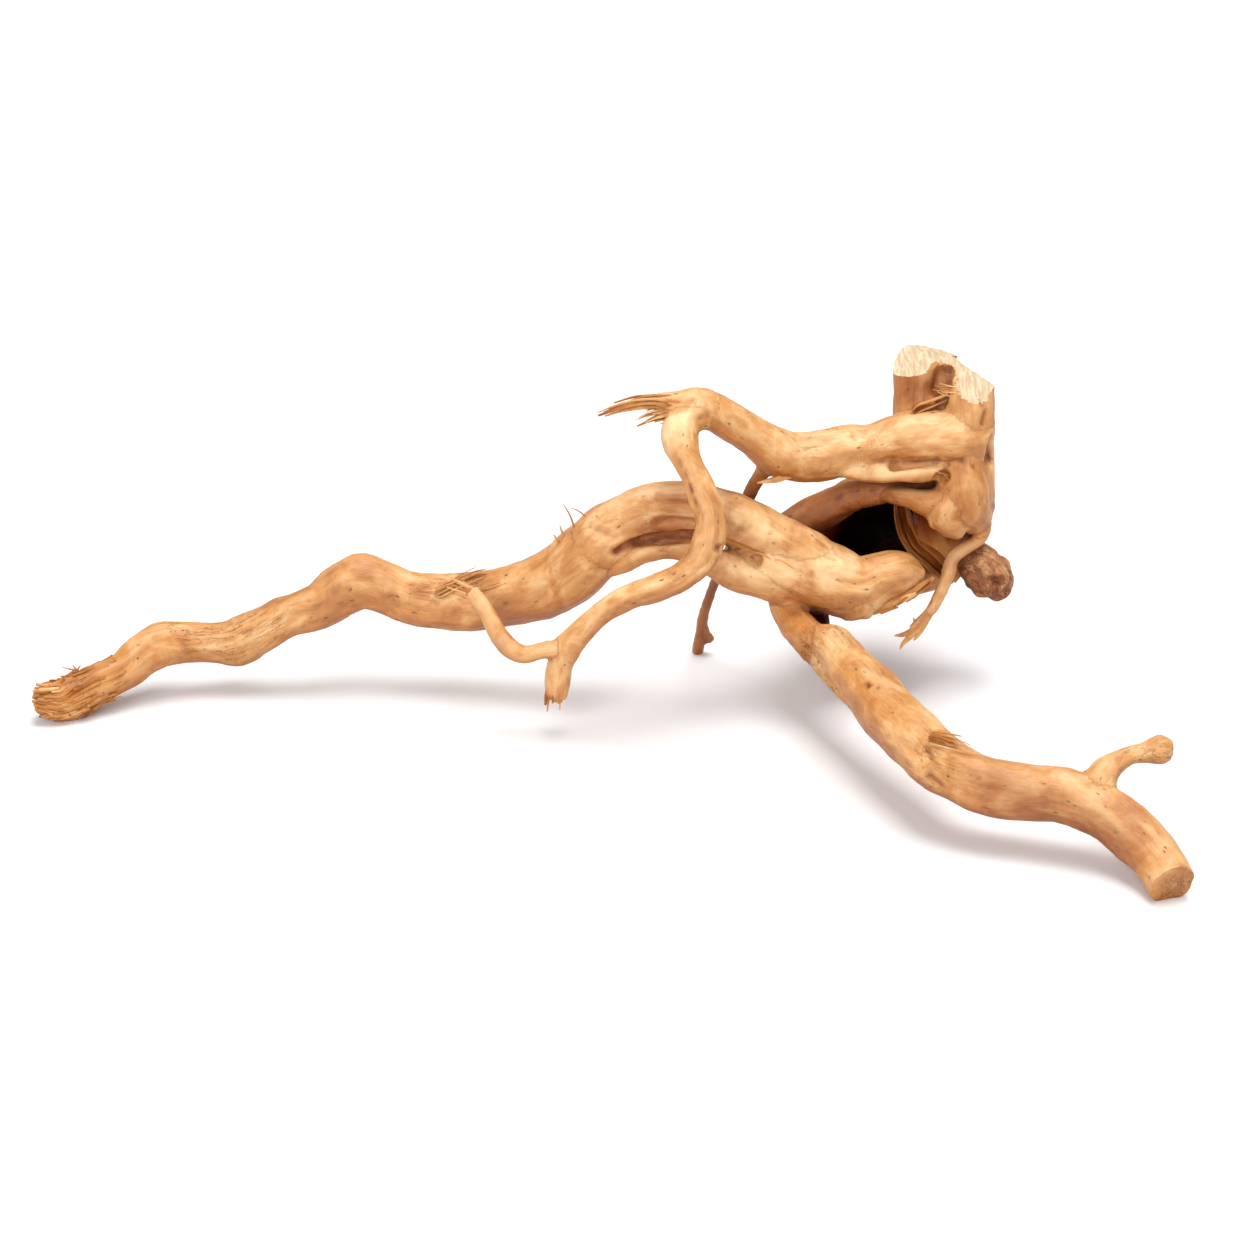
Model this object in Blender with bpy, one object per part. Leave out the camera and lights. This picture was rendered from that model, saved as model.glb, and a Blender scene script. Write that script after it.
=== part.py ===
"""A driftwood root, grown as one piece: one solid, lying on three low points.

The limbs are round sweeps through short lists of stations. They are joined into one skin, the
crotches between them are filled out, dents and grooves are pressed in, the frayed ends get their
strands, and flat cuts make the two sawn stumps, the sawn front tip and the resting spots.

Sizes are in millimetres. X runs along the root, Y points away from the front, Z is up and the
root rests on Z = 0.
"""

import math
import random

import bmesh
import bpy
import numpy as np
from mathutils import Matrix, Vector, noise

MM = 0.001

# Driving dimensions
ORIGIN = Vector((-0.06, -20.97, 0.0))
RING_STEP = 3.0
RING_SIDES = 18
VOXEL = 1.5
BODY_TRIANGLES = 7000
RIDGE = 0.11
FINE_RIDGE = 0.035
SHARP_ANGLE = math.radians(50)

# Limbs as stations (x, y, z, radius), each limb from its root or lower end to its tip
LIMBS = {
    "left_limb": [
        (-257.5, 18, 11, 5.5), (-252, 20, 10, 8), (-244, 23, 9.3, 9.6), (-229, 31, 14, 9.3),
        (-218, 37, 17.5, 9.3), (-209, 43, 23.5, 10.2), (-202, 47, 26, 11), (-191, 50, 26, 10),
        (-177, 52, 25, 10), (-166, 53, 25, 12), (-155, 53, 31, 11), (-140, 53, 39, 10.5),
        (-125, 55, 44, 11.5), (-115, 56, 51, 13), (-107, 57, 55, 14), (-96, 57, 53, 12.5),
        (-87, 56, 49, 12), (-75, 55, 46, 13), (-53, 53, 46, 14), (-36, 51, 50, 14),
        (-19, 48, 56, 15), (-6, 46, 64, 16), (6, 43, 77, 16),
    ],
    "upper_strand": [
        (-6, 46, 63, 14), (10, 42, 82, 15.5), (20, 41, 91, 14.5), (30, 40, 97.5, 13),
        (47, 39, 100.5, 13), (66, 39, 97, 12.8), (85, 40, 88, 12.3), (104, 41, 76, 13),
        (118, 42, 66, 13),
    ],
    "lower_strand": [
        (2, 41, 68, 7), (20, 33, 76, 5.5), (30, 31, 81.5, 5), (40, 30, 84, 5), (52, 30, 82.5, 5.2),
        (61, 30, 78, 6.5), (73, 33, 71, 9.5), (90, 36, 65, 10), (104, 38, 62, 11),
        (118, 41, 60, 12),
    ],
    "broken_end": [
        (85, 41, 78, 14), (104, 42, 69, 17), (114, 42, 65, 17), (124, 43, 60.5, 16.5),
        (133, 44, 59, 15), (143, 46, 62, 12.5), (153, 49, 63, 11), (162, 52, 60, 6),
    ],
    "hanging_knob": [(129, 42, 59, 12), (131, 38, 53, 10), (132, 35, 45.5, 6)],
    "upper_limb": [
        (190, 68, 124, 12), (180, 68, 126, 14.5), (166, 68, 127, 14), (152, 67, 125.5, 12),
        (137, 65, 121.5, 10.8), (126, 64, 120, 11.8), (114, 61, 118, 12), (102, 58, 119, 11.8),
        (93, 55, 122.5, 11.6), (84, 52, 130, 10), (75, 49, 137, 9.4), (66, 46, 144, 9.2),
        (58, 43, 149, 9), (51, 41, 151, 8.5),
    ],
    "under_strand": [
        (122, 58, 114, 5), (137, 56.5, 112, 5.2), (151, 57, 111.8, 5.2), (165, 57, 111.6, 4.8),
        (173, 59, 114, 4),
    ],
    "fork_stub": [(58, 42, 150, 8.5), (51, 40, 152.5, 7), (43, 38, 154, 5), (35, 36, 155, 3.6)],
    "descending_limb": [
        (55, 42, 148, 9.5), (48, 36, 145, 8.6), (47, 29, 138.5, 8), (50, 23, 131, 6.5),
        (54.5, 17, 124, 6.3), (58, 11, 116, 6.9), (60.5, 7, 108, 7), (60, 4, 100, 7.2),
        (56, 2, 91, 7.2), (47.5, 1, 83, 6.4), (38, 1, 78, 6.6), (28, 1, 74.5, 5.8), (19, 2, 70, 5.8),
        (10, 3, 63, 5.6), (2, 4, 54, 5.9), (-5, 5, 45, 6.6), (-9, 6, 35, 5.8),
        (-10, 6, 25, 6), (-10, 6, 18, 5),
    ],
    "side_twig": [
        (-2, 5, 46, 5), (-16, 4, 44, 4.3), (-25, 3, 42, 4.6), (-31, 4, 44, 5), (-37, 8, 50, 4.6),
        (-41, 12, 56, 4.2), (-45, 16, 62, 4), (-50, 21, 66.5, 3.6),
    ],
    "rear_twig": [
        (95, 55, 122, 6), (90, 56, 117, 4.6), (84, 58, 107, 3.6), (80, 61, 97, 3.4),
        (76, 68, 77, 3.1), (66, 79, 46, 2.7), (61, 87, 25, 2.7), (59, 91, 12, 2.8),
        (58, 94, -1, 3.2),
    ],
    "rear_toe": [(60, 89, 18, 2.2), (62, 91, 11, 2.3), (65, 92, 7, 1.9)],
    "front_neck": [(98, 46, 58, 9.5), (99.5, 34, 49, 7.8), (105, 22, 45, 8.2), (111, 10, 43.5, 9.5)],
    "hidden_neck": [
        (106, 54, 58, 11), (110, 54, 42, 9.5), (113, 40, 32, 8), (114, 26, 33, 8), (116, 12, 40, 8.5),
    ],
    "front_limb": [
        (112, 15, 43.5, 8.5), (117, 6, 43.5, 11.4), (125, -12, 41, 12.4), (133, -29, 39, 13),
        (141, -48, 36, 13.6), (150, -66, 34, 13.6), (159, -84, 32, 13.3), (171, -95, 29, 12.9),
        (184, -100, 27, 12.7), (196, -103, 27, 12.4), (208, -107, 28, 12.4),
        (220, -111, 25.5, 12.3), (230, -117, 21.5, 11.6), (238.5, -124, 17, 11.4),
        (244, -131, 14, 11), (247.5, -138, 11, 10.6), (251, -150, 8, 10.2), (254, -160, 7, 10.2),
    ],
    "front_stub": [
        (222, -109, 30, 8), (228.5, -106, 40, 6), (237, -104, 45, 4.4), (244, -102, 45.5, 4.8),
        (251, -101, 46.5, 6.6), (256, -101, 46, 4.6),
    ],
    "back_stump": [
        (165, 95, 170, 16.5), (165, 91, 155, 16.5), (165, 86, 145, 16), (165, 82, 133, 16),
        (167, 76, 122, 14),
    ],
    "front_stump": [
        (186, 77.5, 164, 11.2), (184.5, 75, 150, 11.5), (184, 70, 138, 12.6), (185, 68, 124, 12),
        (187.5, 67, 108, 10.5), (190, 67, 96, 8.5),
    ],
    "trunk": [(174, 72, 130, 14), (180, 69, 116, 13.5), (182, 68, 103, 12), (184, 70, 90, 11)],
    "collar_front": [
        (182, 63, 114, 10.5), (182, 58, 104, 12), (184, 57, 94, 11), (190, 60, 84.5, 7.5),
    ],
    "collar_arm": [
        (181, 60, 101, 11), (173, 57, 96, 8.8), (165, 57.5, 95.5, 6.8), (158, 60, 96.5, 5.2),
        (151, 65, 96.5, 4.4), (144, 70, 96, 3.6),
    ],
    "collar_lip": [(177, 56, 96, 10), (173, 53, 90, 8.5), (182, 54, 85, 7)],
    "arch": [
        (178, 78, 104, 9), (162, 75, 99.5, 8), (147, 72, 97.5, 6.6), (130, 76, 91.5, 8),
        (116, 77, 83.5, 9.6), (103, 72, 78, 9), (93, 60, 74, 9),
    ],
    "vault": [
        (178, 84, 100, 9), (160, 88, 97, 7), (145, 90, 93, 6), (128, 89, 88, 6), (110, 76, 74, 9),
    ],
    "inner_wall": [
        (178, 85, 84, 11), (160, 97, 83.5, 11.5), (142, 100, 79, 12), (124, 93, 71, 12),
        (106, 68, 62, 12),
    ],
    "wall_foot": [(180, 80, 64, 11), (160, 92, 62, 12), (140, 92, 58, 12), (120, 76, 54, 12)],
    "cave_floor": [(180, 74, 56, 9), (158, 74, 52, 12), (138, 72, 49, 12), (116, 60, 50, 11)],
    "lower_trunk": [
        (189, 68, 98, 9.5), (188, 70, 86, 9.5), (184, 73, 76, 10), (181, 74, 65, 10),
        (184, 75, 55, 8),
    ],
    "burl": [(184, 72, 60, 8), (191, 70, 59, 11), (198, 70, 53, 11.5), (203, 70, 47, 9),
             (206.5, 70, 42.5, 5)],
    "rootlet": [
        (192, 62, 85, 5), (191, 59, 77.5, 3.6), (184, 56, 73, 3.2), (178, 54, 69, 3.2),
        (176, 52, 62, 3.4), (172.5, 50, 53, 3), (168.5, 48, 45, 2.9), (162, 46, 38, 2.8),
        (158.5, 45, 34.5, 2.4),
    ],
}

# Crotches filled out by smoothing, as (x, y, z, reach)
CROTCHES = [
    (52, 40, 147, 16), (-4, 6, 46, 12), (225, -109, 34, 11), (160, 70, 132, 14),
    (124, 42, 60, 22), (91, 56, 118, 12), (-4, 44, 70, 18), (186, 62, 100, 18),
    (194, 70, 56, 14), (98, 66, 74, 14), (112, 8, 42, 17),
]

# Hollows and grooves pressed into the skin, as (start, end, reach, depth)
HOLLOWS = [
    ((33, 31, 107), (53, 27, 104), 8, 3.5), ((40, 28, 98), (54, 26, 97), 9, 4),
    ((17, 27, 84), (25, 28, 88), 4, 3), ((25, 28, 88), (54, 29, 91), 4, 3),
    ((5, 32, 94), (16, 27, 91), 3.5, 1.6), ((66, 30, 90), (84, 30, 79), 5, 2),
    ((76, 28, 92), (84, 30, 90), 7, 2), ((-110, 43, 50), (-92, 43, 48), 11, 2),
    ((172, 56, 118), (180, 54, 117), 4, 2.5), ((180, 54, 117), (186, 50, 112), 4, 3.5),
    ((186, 50, 112), (195, 60, 102), 4, 2.5), ((195, 62, 125), (195, 60, 117), 5.5, 5),
    ((148, 54, 117), (168, 53, 118), 4, 4), ((170, 53, 110), (172, 53, 111), 4, 3.5),
    ((175, 80, 154), (172, 71, 150), 5, 4), ((172, 71, 150), (171, 69, 138), 5, 4.5),
    ((168, 72, 148), (173, 75, 157), 7, 4.5),
    ((158, 67, 139), (170, 68, 138), 4, 3), ((168, 70, 74), (177, 68, 74), 7, 4),
    ((104, 4, 46), (118, -34, 35), 9, 2), ((131, -40, 49), (135, -48, 48), 3, 2.5),
    ((152, -90, 41), (153, -94, 39), 3, 2), ((153, -97, 32), (157, -101, 29), 3.5, 2),
    ((64, -2, 98), (66, 0, 97), 3, 2), ((120, 26, 70), (134, 30, 68), 8, 1.5),
    ((196, 61, 60), (203, 62, 52), 6, 1.5),
]

# Knotty places, as (x, y, z, reach), the height of their bumps and how far apart those are
KNOTTY = [
    ((199, 68, 52, 24), 3, 6.5), ((158, 50, 63, 13), 1.3, 6), ((190, 62, 122, 14), 1.2, 7),
    ((164, 80, 140, 20), 0.9, 8), ((-107, 57, 58, 20), 0.8, 9), ((60, 6, 108, 12), 0.6, 5),
    ((150, -80, 38, 26), 0.8, 9), ((128, 44, 60, 20), 0.8, 8),
]

# Bundles of torn strands, as stations (x, y, z, spread), the count and a strand's half-thickness
BUNDLES = {
    "fork_end": (
        [(46, 39, 153.5, 4.2), (34, 36, 155.5, 4), (25, 34.5, 155, 3.6), (16, 33, 153, 2.8),
         (9, 32, 150.5, 2.4)], 9, 1.3),
    "fork_fringe": ([(47, 38, 150, 3.2), (38, 36, 150, 3.4), (30, 35, 148, 3.4), (25, 34, 146, 3)],
                    6, 0.8),
    "side_end": ([(-49, 20, 65.5, 2.2), (-56, 23.5, 67, 3), (-63, 26, 67.5, 3.6)], 6, 1.3),
    "hanging_end": ([(-10, 6, 24, 4.2), (-10.5, 6, 17, 4.6), (-11, 6, 13.5, 4.8)], 6, 1.2),
    "broken_end": ([(136, 42, 55, 5), (147, 43, 56, 5.5), (158, 47, 58, 5), (169, 52, 59.5, 3)],
                   8, 2.4),
    "left_tip": ([(-248, 20.5, 10, 6), (-253, 19, 11, 6), (-258.4, 17.6, 12, 5)], 9, 1.6),
    "stump_side": ([(175, 67, 149, 2.5), (170, 65.5, 150, 2.8), (166, 65.5, 151.5, 3.2)], 5, 0.7),
    "left_knot": ([(-60, 47, 58, 2.4), (-51, 49, 62, 2.8), (-43, 50, 63, 2.4)], 6, 0.9),
    "front_knot": ([(157, -87, 45, 3), (165, -92, 45.5, 3.4), (173, -95, 42.5, 3)], 6, 0.9),
}

# Single torn strands and thin twigs, as stations (x, y, z, radius)
STRANDS = [
    [(164, 46, 38, 2.4), (157, 44, 34, 1.7), (151, 43, 33.5, 0.8)],
    [(164, 46, 38, 2.4), (158, 44, 32, 1.6), (154, 43, 27, 0.8)],
    [(162, 45.5, 36, 1.4), (159.5, 45, 39.5, 0.6)],
    [(99, 53, 113, 3), (93, 51, 110.5, 2), (87, 50, 109.5, 1.1)],
    [(-237, 27, 19, 0.9), (-241, 27, 22.5, 0.7), (-246, 27, 23.5, 0.5)],
    [(-238, 27, 19, 0.9), (-241, 28, 23.5, 0.6), (-243, 28, 26, 0.5)],
    [(-239, 27, 19, 0.9), (-239, 27.5, 23.5, 0.6), (-237, 28, 25.5, 0.5)],
    [(-2, 41, 86, 0.8), (-3.3, 40, 94.3, 0.5), (-5.5, 40, 99.4, 0.4), (-7.4, 40, 102.4, 0.35)],
    [(4, 41, 95, 0.6), (-0.9, 40, 99.4, 0.4), (-3.7, 40, 100.1, 0.35)],
    [(158, 70, 137, 1.2), (160, 68, 141, 1.3), (166, 67, 143.5, 1.3), (174, 69, 146, 1.2)],
]

# Thin bark and peeled strips, as stations (x, y, z, half-width), their thickness share and lean
RIBBONS = [
    ([(155, 62, 94, 4), (159, 60, 85, 5), (167, 59, 74, 5.5), (176, 58, 65, 5), (180, 61, 56, 4)],
     0.17, (0.35, 0.9, 0.1)),
    ([(152, 63, 93, 4), (155, 61, 82, 5), (162, 60, 71, 5.5), (172, 59, 62, 5), (179, 62, 53, 4)],
     0.17, (0.25, 0.9, 0.1)),
    ([(150, 66, 92, 4), (152, 64, 78, 5), (157, 63, 69, 5.5), (166, 62, 61, 5), (176, 65, 51, 4)],
     0.17, (0.15, 0.9, 0.1)),
    ([(136, -56, 45, 3), (152, -74, 45.5, 4), (164, -91, 43.5, 4.5), (180, -99.5, 39.5, 4),
      (196, -104, 38.5, 2.5)], 0.3, (0.5, 0.5, 0.5)),
]

# Torn strips that cover the left tip, seen from the front and above
STRIP_COUNT = 22
STRIP_REACH = 48
STRIP_LENGTHS = (13, 26)
STRIP_TURNS = (-45, 85)
STRIP_RADIUS = 1.0


def clear_scene():
    for thing in list(bpy.data.objects):
        bpy.data.objects.remove(thing)


def wood_material():
    wood = bpy.data.materials.new("weathered_wood")
    wood.use_nodes = True
    surface = wood.node_tree.nodes["Principled BSDF"]
    surface.inputs["Base Color"].default_value = (0.56, 0.31, 0.13, 1.0)
    surface.inputs["Roughness"].default_value = 0.5
    surface.inputs["Metallic"].default_value = 0.0
    return wood


def route(stations, step=RING_STEP):
    """Rows (x, y, z, radius) along a Catmull-Rom curve through the stations, about step apart."""
    known = np.array(stations, float)
    known = np.vstack([2 * known[0] - known[1], known, 2 * known[-1] - known[-2]])
    rows = []
    for before, start, end, after in zip(known, known[1:], known[2:], known[3:]):
        count = max(1, round(np.linalg.norm((end - start)[:3]) / step))
        for t in np.arange(count) / count:
            rows.append(
                0.5 * (2 * start + (end - before) * t
                       + (2 * before - 5 * start + 4 * end - after) * t ** 2
                       + (3 * start - before - 3 * end + after) * t ** 3)
            )
    rows.append(known[-2])
    return np.array(rows)


def frames(points):
    """Two unit vectors across the route at each of its points, turned as little as possible."""
    along = np.gradient(points, axis=0)
    along /= np.linalg.norm(along, axis=1)[:, None]
    side = Vector(along[0]).orthogonal().normalized()
    pairs = []
    for direction in map(Vector, along):
        side = (side - direction * side.dot(direction)).normalized()
        pairs.append((side.copy(), direction.cross(side)))
    return pairs


def ridged(out, distance, seed):
    """The share by which the wood swells in direction out, as ridges that run along the limb."""
    broad = noise.noise(out * 1.6 + Vector((distance / 55, seed, 0)))
    fine = noise.noise(out * 4 + Vector((distance / 30, 0, seed)))
    return 1 + RIDGE * broad + FINE_RIDGE * fine


def add_tube(mesh, rows, sides=RING_SIDES, flat=1, lean=None, seed=None):
    """One closed sweep along rows of (x, y, z, radius), wide along lean where it is flat."""
    rings = []
    distance = 0
    last = Vector(rows[0][:3])
    for (x, y, z, radius), (side, up) in zip(rows, frames(rows[:, :3])):
        centre = Vector((x, y, z))
        distance += (centre - last).length
        last = centre
        if lean:
            along = side.cross(up)
            side = (Vector(lean) - along * along.dot(Vector(lean))).normalized()
            up = along.cross(side)
        ring = []
        for turn in range(sides):
            angle = 2 * math.pi * turn / sides
            out = side * math.cos(angle) + up * (math.sin(angle) * flat)
            swell = 1 if seed is None else ridged(out, distance, seed)
            ring.append(mesh.verts.new((centre + out * radius * swell) * MM))
        rings.append(ring)
    for lower, upper in zip(rings, rings[1:]):
        for turn in range(sides):
            after = (turn + 1) % sides
            mesh.faces.new((lower[turn], lower[after], upper[after], upper[turn]))
    mesh.faces.new(rings[0][::-1])
    mesh.faces.new(rings[-1])


def new_object(name, mesh):
    data = bpy.data.meshes.new(name)
    mesh.to_mesh(data)
    mesh.free()
    made = bpy.data.objects.new(name, data)
    bpy.context.scene.collection.objects.link(made)
    return made


def apply_modifiers(made):
    """Keeps the shape that the modifiers give, and takes them off."""
    bpy.context.view_layer.update()
    evaluated = made.evaluated_get(bpy.context.evaluated_depsgraph_get())
    made.data = bpy.data.meshes.new_from_object(evaluated)
    made.modifiers.clear()


def positions(made):
    points = np.empty(len(made.data.vertices) * 3, np.float32)
    made.data.vertices.foreach_get("co", points)
    return points.reshape(-1, 3).astype(float) / MM


def normals(made):
    out = np.empty(len(made.data.vertices) * 3, np.float32)
    made.data.vertices.foreach_get("normal", out)
    return out.reshape(-1, 3).astype(float)


def move_to(made, points):
    made.data.vertices.foreach_set("co", (points * MM).astype(np.float32).ravel())
    made.data.update()


def fade(share):
    """1 where share is 0, falling smoothly to 0 where it is 1 or more."""
    share = np.clip(share, 0, 1)
    return 1 - share * share * (3 - 2 * share)


def joined_limbs():
    """Every limb in one skin."""
    mesh = bmesh.new()
    for seed, stations in enumerate(LIMBS.values()):
        add_tube(mesh, route(stations), seed=seed)
    root = new_object("driftwood_root", mesh)
    skin = root.modifiers.new("one_skin", "REMESH")
    skin.mode = "VOXEL"
    skin.voxel_size = VOXEL * MM
    skin.adaptivity = 0
    apply_modifiers(root)
    return root


def soften(root):
    """Evens the skin, and fills out the crotches so that one limb flows into the next."""
    points = positions(root)
    weight = np.zeros(len(points))
    for x, y, z, reach in CROTCHES:
        weight = np.maximum(weight, fade(np.linalg.norm(points - (x, y, z), axis=1) / reach))
    group = root.vertex_groups.new(name="crotch")
    for index in np.flatnonzero(weight > 0.01):
        group.add([int(index)], float(weight[index]), "REPLACE")
    even = root.modifiers.new("even", "SMOOTH")
    even.factor = 0.5
    even.iterations = 3
    fill = root.modifiers.new("fill_out", "SMOOTH")
    fill.factor = 0.5
    fill.iterations = 24
    fill.vertex_group = "crotch"
    apply_modifiers(root)
    root.vertex_groups.clear()


def raise_knots(root):
    """Lifts the skin into uneven bumps at the knotty places."""
    points = positions(root)
    outward = normals(root)
    for (x, y, z, reach), height, spacing in KNOTTY:
        share = fade(np.linalg.norm(points - (x, y, z), axis=1) / reach)
        for index in np.flatnonzero(share > 0.01):
            bump = noise.noise(Vector(points[index]) / spacing) - 0.2
            points[index] += outward[index] * (height * bump * share[index])
    move_to(root, points)


def press_hollows(root):
    """Presses every hollow and groove in, along the skin's own normals."""
    points = positions(root)
    inward = -normals(root)
    depths = np.zeros(len(points))
    for start, end, reach, depth in HOLLOWS:
        start, end = np.array(start, float), np.array(end, float)
        span = end - start
        share = np.clip((points - start) @ span / (span @ span), 0, 1)
        away = np.linalg.norm(points - start - share[:, None] * span, axis=1)
        depths = np.maximum(depths, depth * fade(away / reach))
    move_to(root, points + inward * depths[:, None])


def bundle_rows(stations, count, thickness, seed):
    """Strands that follow the stations side by side, each with its own length and wobble."""
    draw = random.Random(seed)
    rows = route(stations, 6)
    across = frames(rows[:, :3])
    for number in range(count):
        angle = 2 * math.pi * (number + draw.random()) / count
        reach = math.sqrt(draw.uniform(0.15, 1))
        length = max(3, round(len(rows) * draw.uniform(0.65, 1)))
        strand = []
        for index in range(length):
            side, up = across[index]
            x, y, z, spread = rows[index]
            turn = angle + draw.uniform(-0.25, 0.25)
            out = (side * math.cos(turn) + up * math.sin(turn)) * spread * reach
            radius = thickness * (1 - 0.65 * index / (length - 1))
            strand.append((x + out.x, y + out.y, z + out.z, max(radius, 0.35)))
        yield np.array(strand)


def strip_rows():
    """Torn strips along the left tip, each tied down at one end and lifted at the other."""
    draw = random.Random(7)
    rows = route(LIMBS["left_limb"])
    step = np.linalg.norm(np.diff(rows[:, :3], axis=0), axis=1).mean()
    for number in range(STRIP_COUNT):
        start = int(draw.uniform(0, STRIP_REACH - STRIP_LENGTHS[0]) / step)
        stop = start + max(7, round(draw.uniform(*STRIP_LENGTHS) / step))
        turn = math.radians(STRIP_TURNS[0] + (STRIP_TURNS[1] - STRIP_TURNS[0]) * number / STRIP_COUNT
                            + draw.uniform(-4, 4))
        strand = []
        for index in range(start, stop, 3):
            x, y, z, radius = rows[index]
            along = Vector(rows[index + 1][:3] - rows[index][:3]).normalized()
            front = Vector((0, -1, 0))
            front = (front - along * along.dot(front)).normalized()
            out = front * math.cos(turn) + front.cross(along) * math.sin(turn)
            lift = 1.2 * ((index - start) / (stop - start)) ** 2
            x, y, z = Vector((x, y, z)) + out * (radius + lift)
            strand.append((x, y, z, STRIP_RADIUS * (1 if index > start else 0.6)))
        yield np.array(strand)


def frayed_pieces():
    """Every torn strand, strip and ribbon as its own closed object, in one collection."""
    pieces = bpy.data.collections.new("frayed")
    bpy.context.scene.collection.children.link(pieces)
    made = []
    for seed, (stations, count, thickness) in enumerate(BUNDLES.values()):
        made += [(rows, 4, 1, None) for rows in bundle_rows(stations, count, thickness, seed)]
    made += [(rows, 4, 1, None) for rows in strip_rows()]
    made += [(route(stations, 5), 5, 1, None) for stations in STRANDS]
    made += [(route(stations, 7), 8, flat, lean) for stations, flat, lean in RIBBONS]
    for number, (rows, sides, flat, lean) in enumerate(made):
        mesh = bmesh.new()
        add_tube(mesh, rows, sides, flat, lean)
        piece = new_object(f"frayed_{number}", mesh)
        bpy.context.scene.collection.objects.unlink(piece)
        pieces.objects.link(piece)
    return pieces


def join_frayed(root):
    """One union that grows the torn pieces onto the root."""
    pieces = frayed_pieces()
    grow = root.modifiers.new("grow", "BOOLEAN")
    grow.operation = "UNION"
    grow.operand_type = "COLLECTION"
    grow.collection = pieces
    grow.solver = "EXACT"
    apply_modifiers(root)
    for piece in list(pieces.objects):
        bpy.data.objects.remove(piece)
    bpy.data.collections.remove(pieces)


def simplify(root, triangles):
    count = sum(len(face.vertices) - 2 for face in root.data.polygons)
    fewer = root.modifiers.new("fewer", "DECIMATE")
    fewer.ratio = triangles / count
    fewer.use_collapse_triangulate = True
    apply_modifiers(root)


def subtract(root, cutter):
    cutter.hide_render = True
    cutter.display_type = "WIRE"
    cut = root.modifiers.new("cut", "BOOLEAN")
    cut.operation = "DIFFERENCE"
    cut.object = cutter
    apply_modifiers(root)
    bpy.data.objects.remove(cutter)


def cut_flat(root, point, normal, size):
    """Takes off what lies above the plane through point, within a block of the given size."""
    mesh = bmesh.new()
    bmesh.ops.create_cube(mesh, size=1)
    turn = Vector(normal).normalized().to_track_quat("Z", "Y").to_matrix().to_4x4()
    place = Matrix.Translation(Vector(point) * MM) @ turn
    place = place @ Matrix.Diagonal(Vector(size) * MM).to_4x4() @ Matrix.Translation((0, 0, 0.5))
    bmesh.ops.transform(mesh, matrix=place, verts=mesh.verts)
    subtract(root, new_object("cutter", mesh))


def drop_scraps(root):
    """Keeps the one largest body, and drops the crumbs that the cuts leave loose."""
    mesh = bmesh.new()
    mesh.from_mesh(root.data)
    waiting = set(mesh.faces)
    bodies = []
    while waiting:
        edge = [waiting.pop()]
        body = list(edge)
        while edge:
            near = [face for side in edge.pop().edges for face in side.link_faces]
            new = [face for face in set(near) if face in waiting]
            waiting.difference_update(new)
            edge += new
            body += new
        bodies.append(body)
    bodies.sort(key=len)
    crumbs = [face for body in bodies[:-1] for face in body]
    bmesh.ops.delete(mesh, geom=crumbs, context="FACES")
    mesh.to_mesh(root.data)
    mesh.free()


def main():
    clear_scene()
    root = joined_limbs()
    soften(root)
    raise_knots(root)
    press_hollows(root)
    simplify(root, BODY_TRIANGLES)
    join_frayed(root)
    cut_flat(root, (163, 91, 157.7), (-0.42, -0.13, 1), (60, 60, 30))
    cut_flat(root, (166, 91, 158.1), (0.15, 0.12, 1), (60, 60, 30))
    cut_flat(root, (190, 72, 150.8), (0.18, -0.42, 1), (33, 50, 30))
    cut_flat(root, (190, 80, 150.8), (0.64, 0.2, 1), (40, 50, 30))
    cut_flat(root, (250.5, -149, 8), (0.3, -1, -0.25), (40, 40, 20))
    cut_flat(root, (0, 0, 0), (0, 0, -1), (700, 500, 30))
    drop_scraps(root)
    root.data.transform(Matrix.Translation(-ORIGIN * MM))
    root.data.materials.clear()
    root.data.materials.append(wood_material())
    root.data.shade_smooth()
    root.data.set_sharp_from_angle(angle=SHARP_ANGLE)


main()
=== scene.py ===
"""A driftwood root: peeled, weathered and grown as one piece, lying on three low points.

The wood is one skin over the limbs' sweeps, with dents, knots, grain relief and sawn ends. The
torn fibres, the thin sheets in the hub's bowl and the curls and hairs are pieces of their own,
sunk well into the wood. Sizes below are in millimetres, measured from the same point as the
limbs' stations; MM and ORIGIN bring them to the model's frame.
"""

import math
import random

import bpy
import numpy as np
from bpy.props import FloatProperty, FloatVectorProperty, IntProperty, PointerProperty
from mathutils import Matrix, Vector, noise
from mathutils.bvhtree import BVHTree


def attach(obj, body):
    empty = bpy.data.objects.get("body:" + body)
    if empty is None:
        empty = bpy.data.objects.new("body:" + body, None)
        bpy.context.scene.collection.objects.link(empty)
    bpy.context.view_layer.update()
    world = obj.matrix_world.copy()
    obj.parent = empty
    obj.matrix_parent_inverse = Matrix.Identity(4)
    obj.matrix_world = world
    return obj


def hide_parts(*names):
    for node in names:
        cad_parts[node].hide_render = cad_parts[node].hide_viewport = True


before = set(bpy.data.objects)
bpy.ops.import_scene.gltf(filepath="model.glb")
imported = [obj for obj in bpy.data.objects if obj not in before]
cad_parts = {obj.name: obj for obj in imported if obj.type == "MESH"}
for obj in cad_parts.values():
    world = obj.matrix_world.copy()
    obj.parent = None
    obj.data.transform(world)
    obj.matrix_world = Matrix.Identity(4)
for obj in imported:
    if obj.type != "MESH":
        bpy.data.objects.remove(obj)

bl_info = {
    "name": "Driftwood root",
    "version": (1, 0, 0),
    "blender": (4, 5, 0),
    "location": "View3D > Sidebar > Driftwood",
    "description": "Builds a weathered driftwood root with torn ends on a pale floor",
    "category": "Add Mesh",
}

MM = 0.001
ORIGIN = Vector((-0.06, -20.97, 0.0))

# How far apart the rings of a limb are, and the share by which its ridges swell
RING_STEP = 3.0
RIDGE = 0.11
FINE_RIDGE = 0.035

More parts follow.
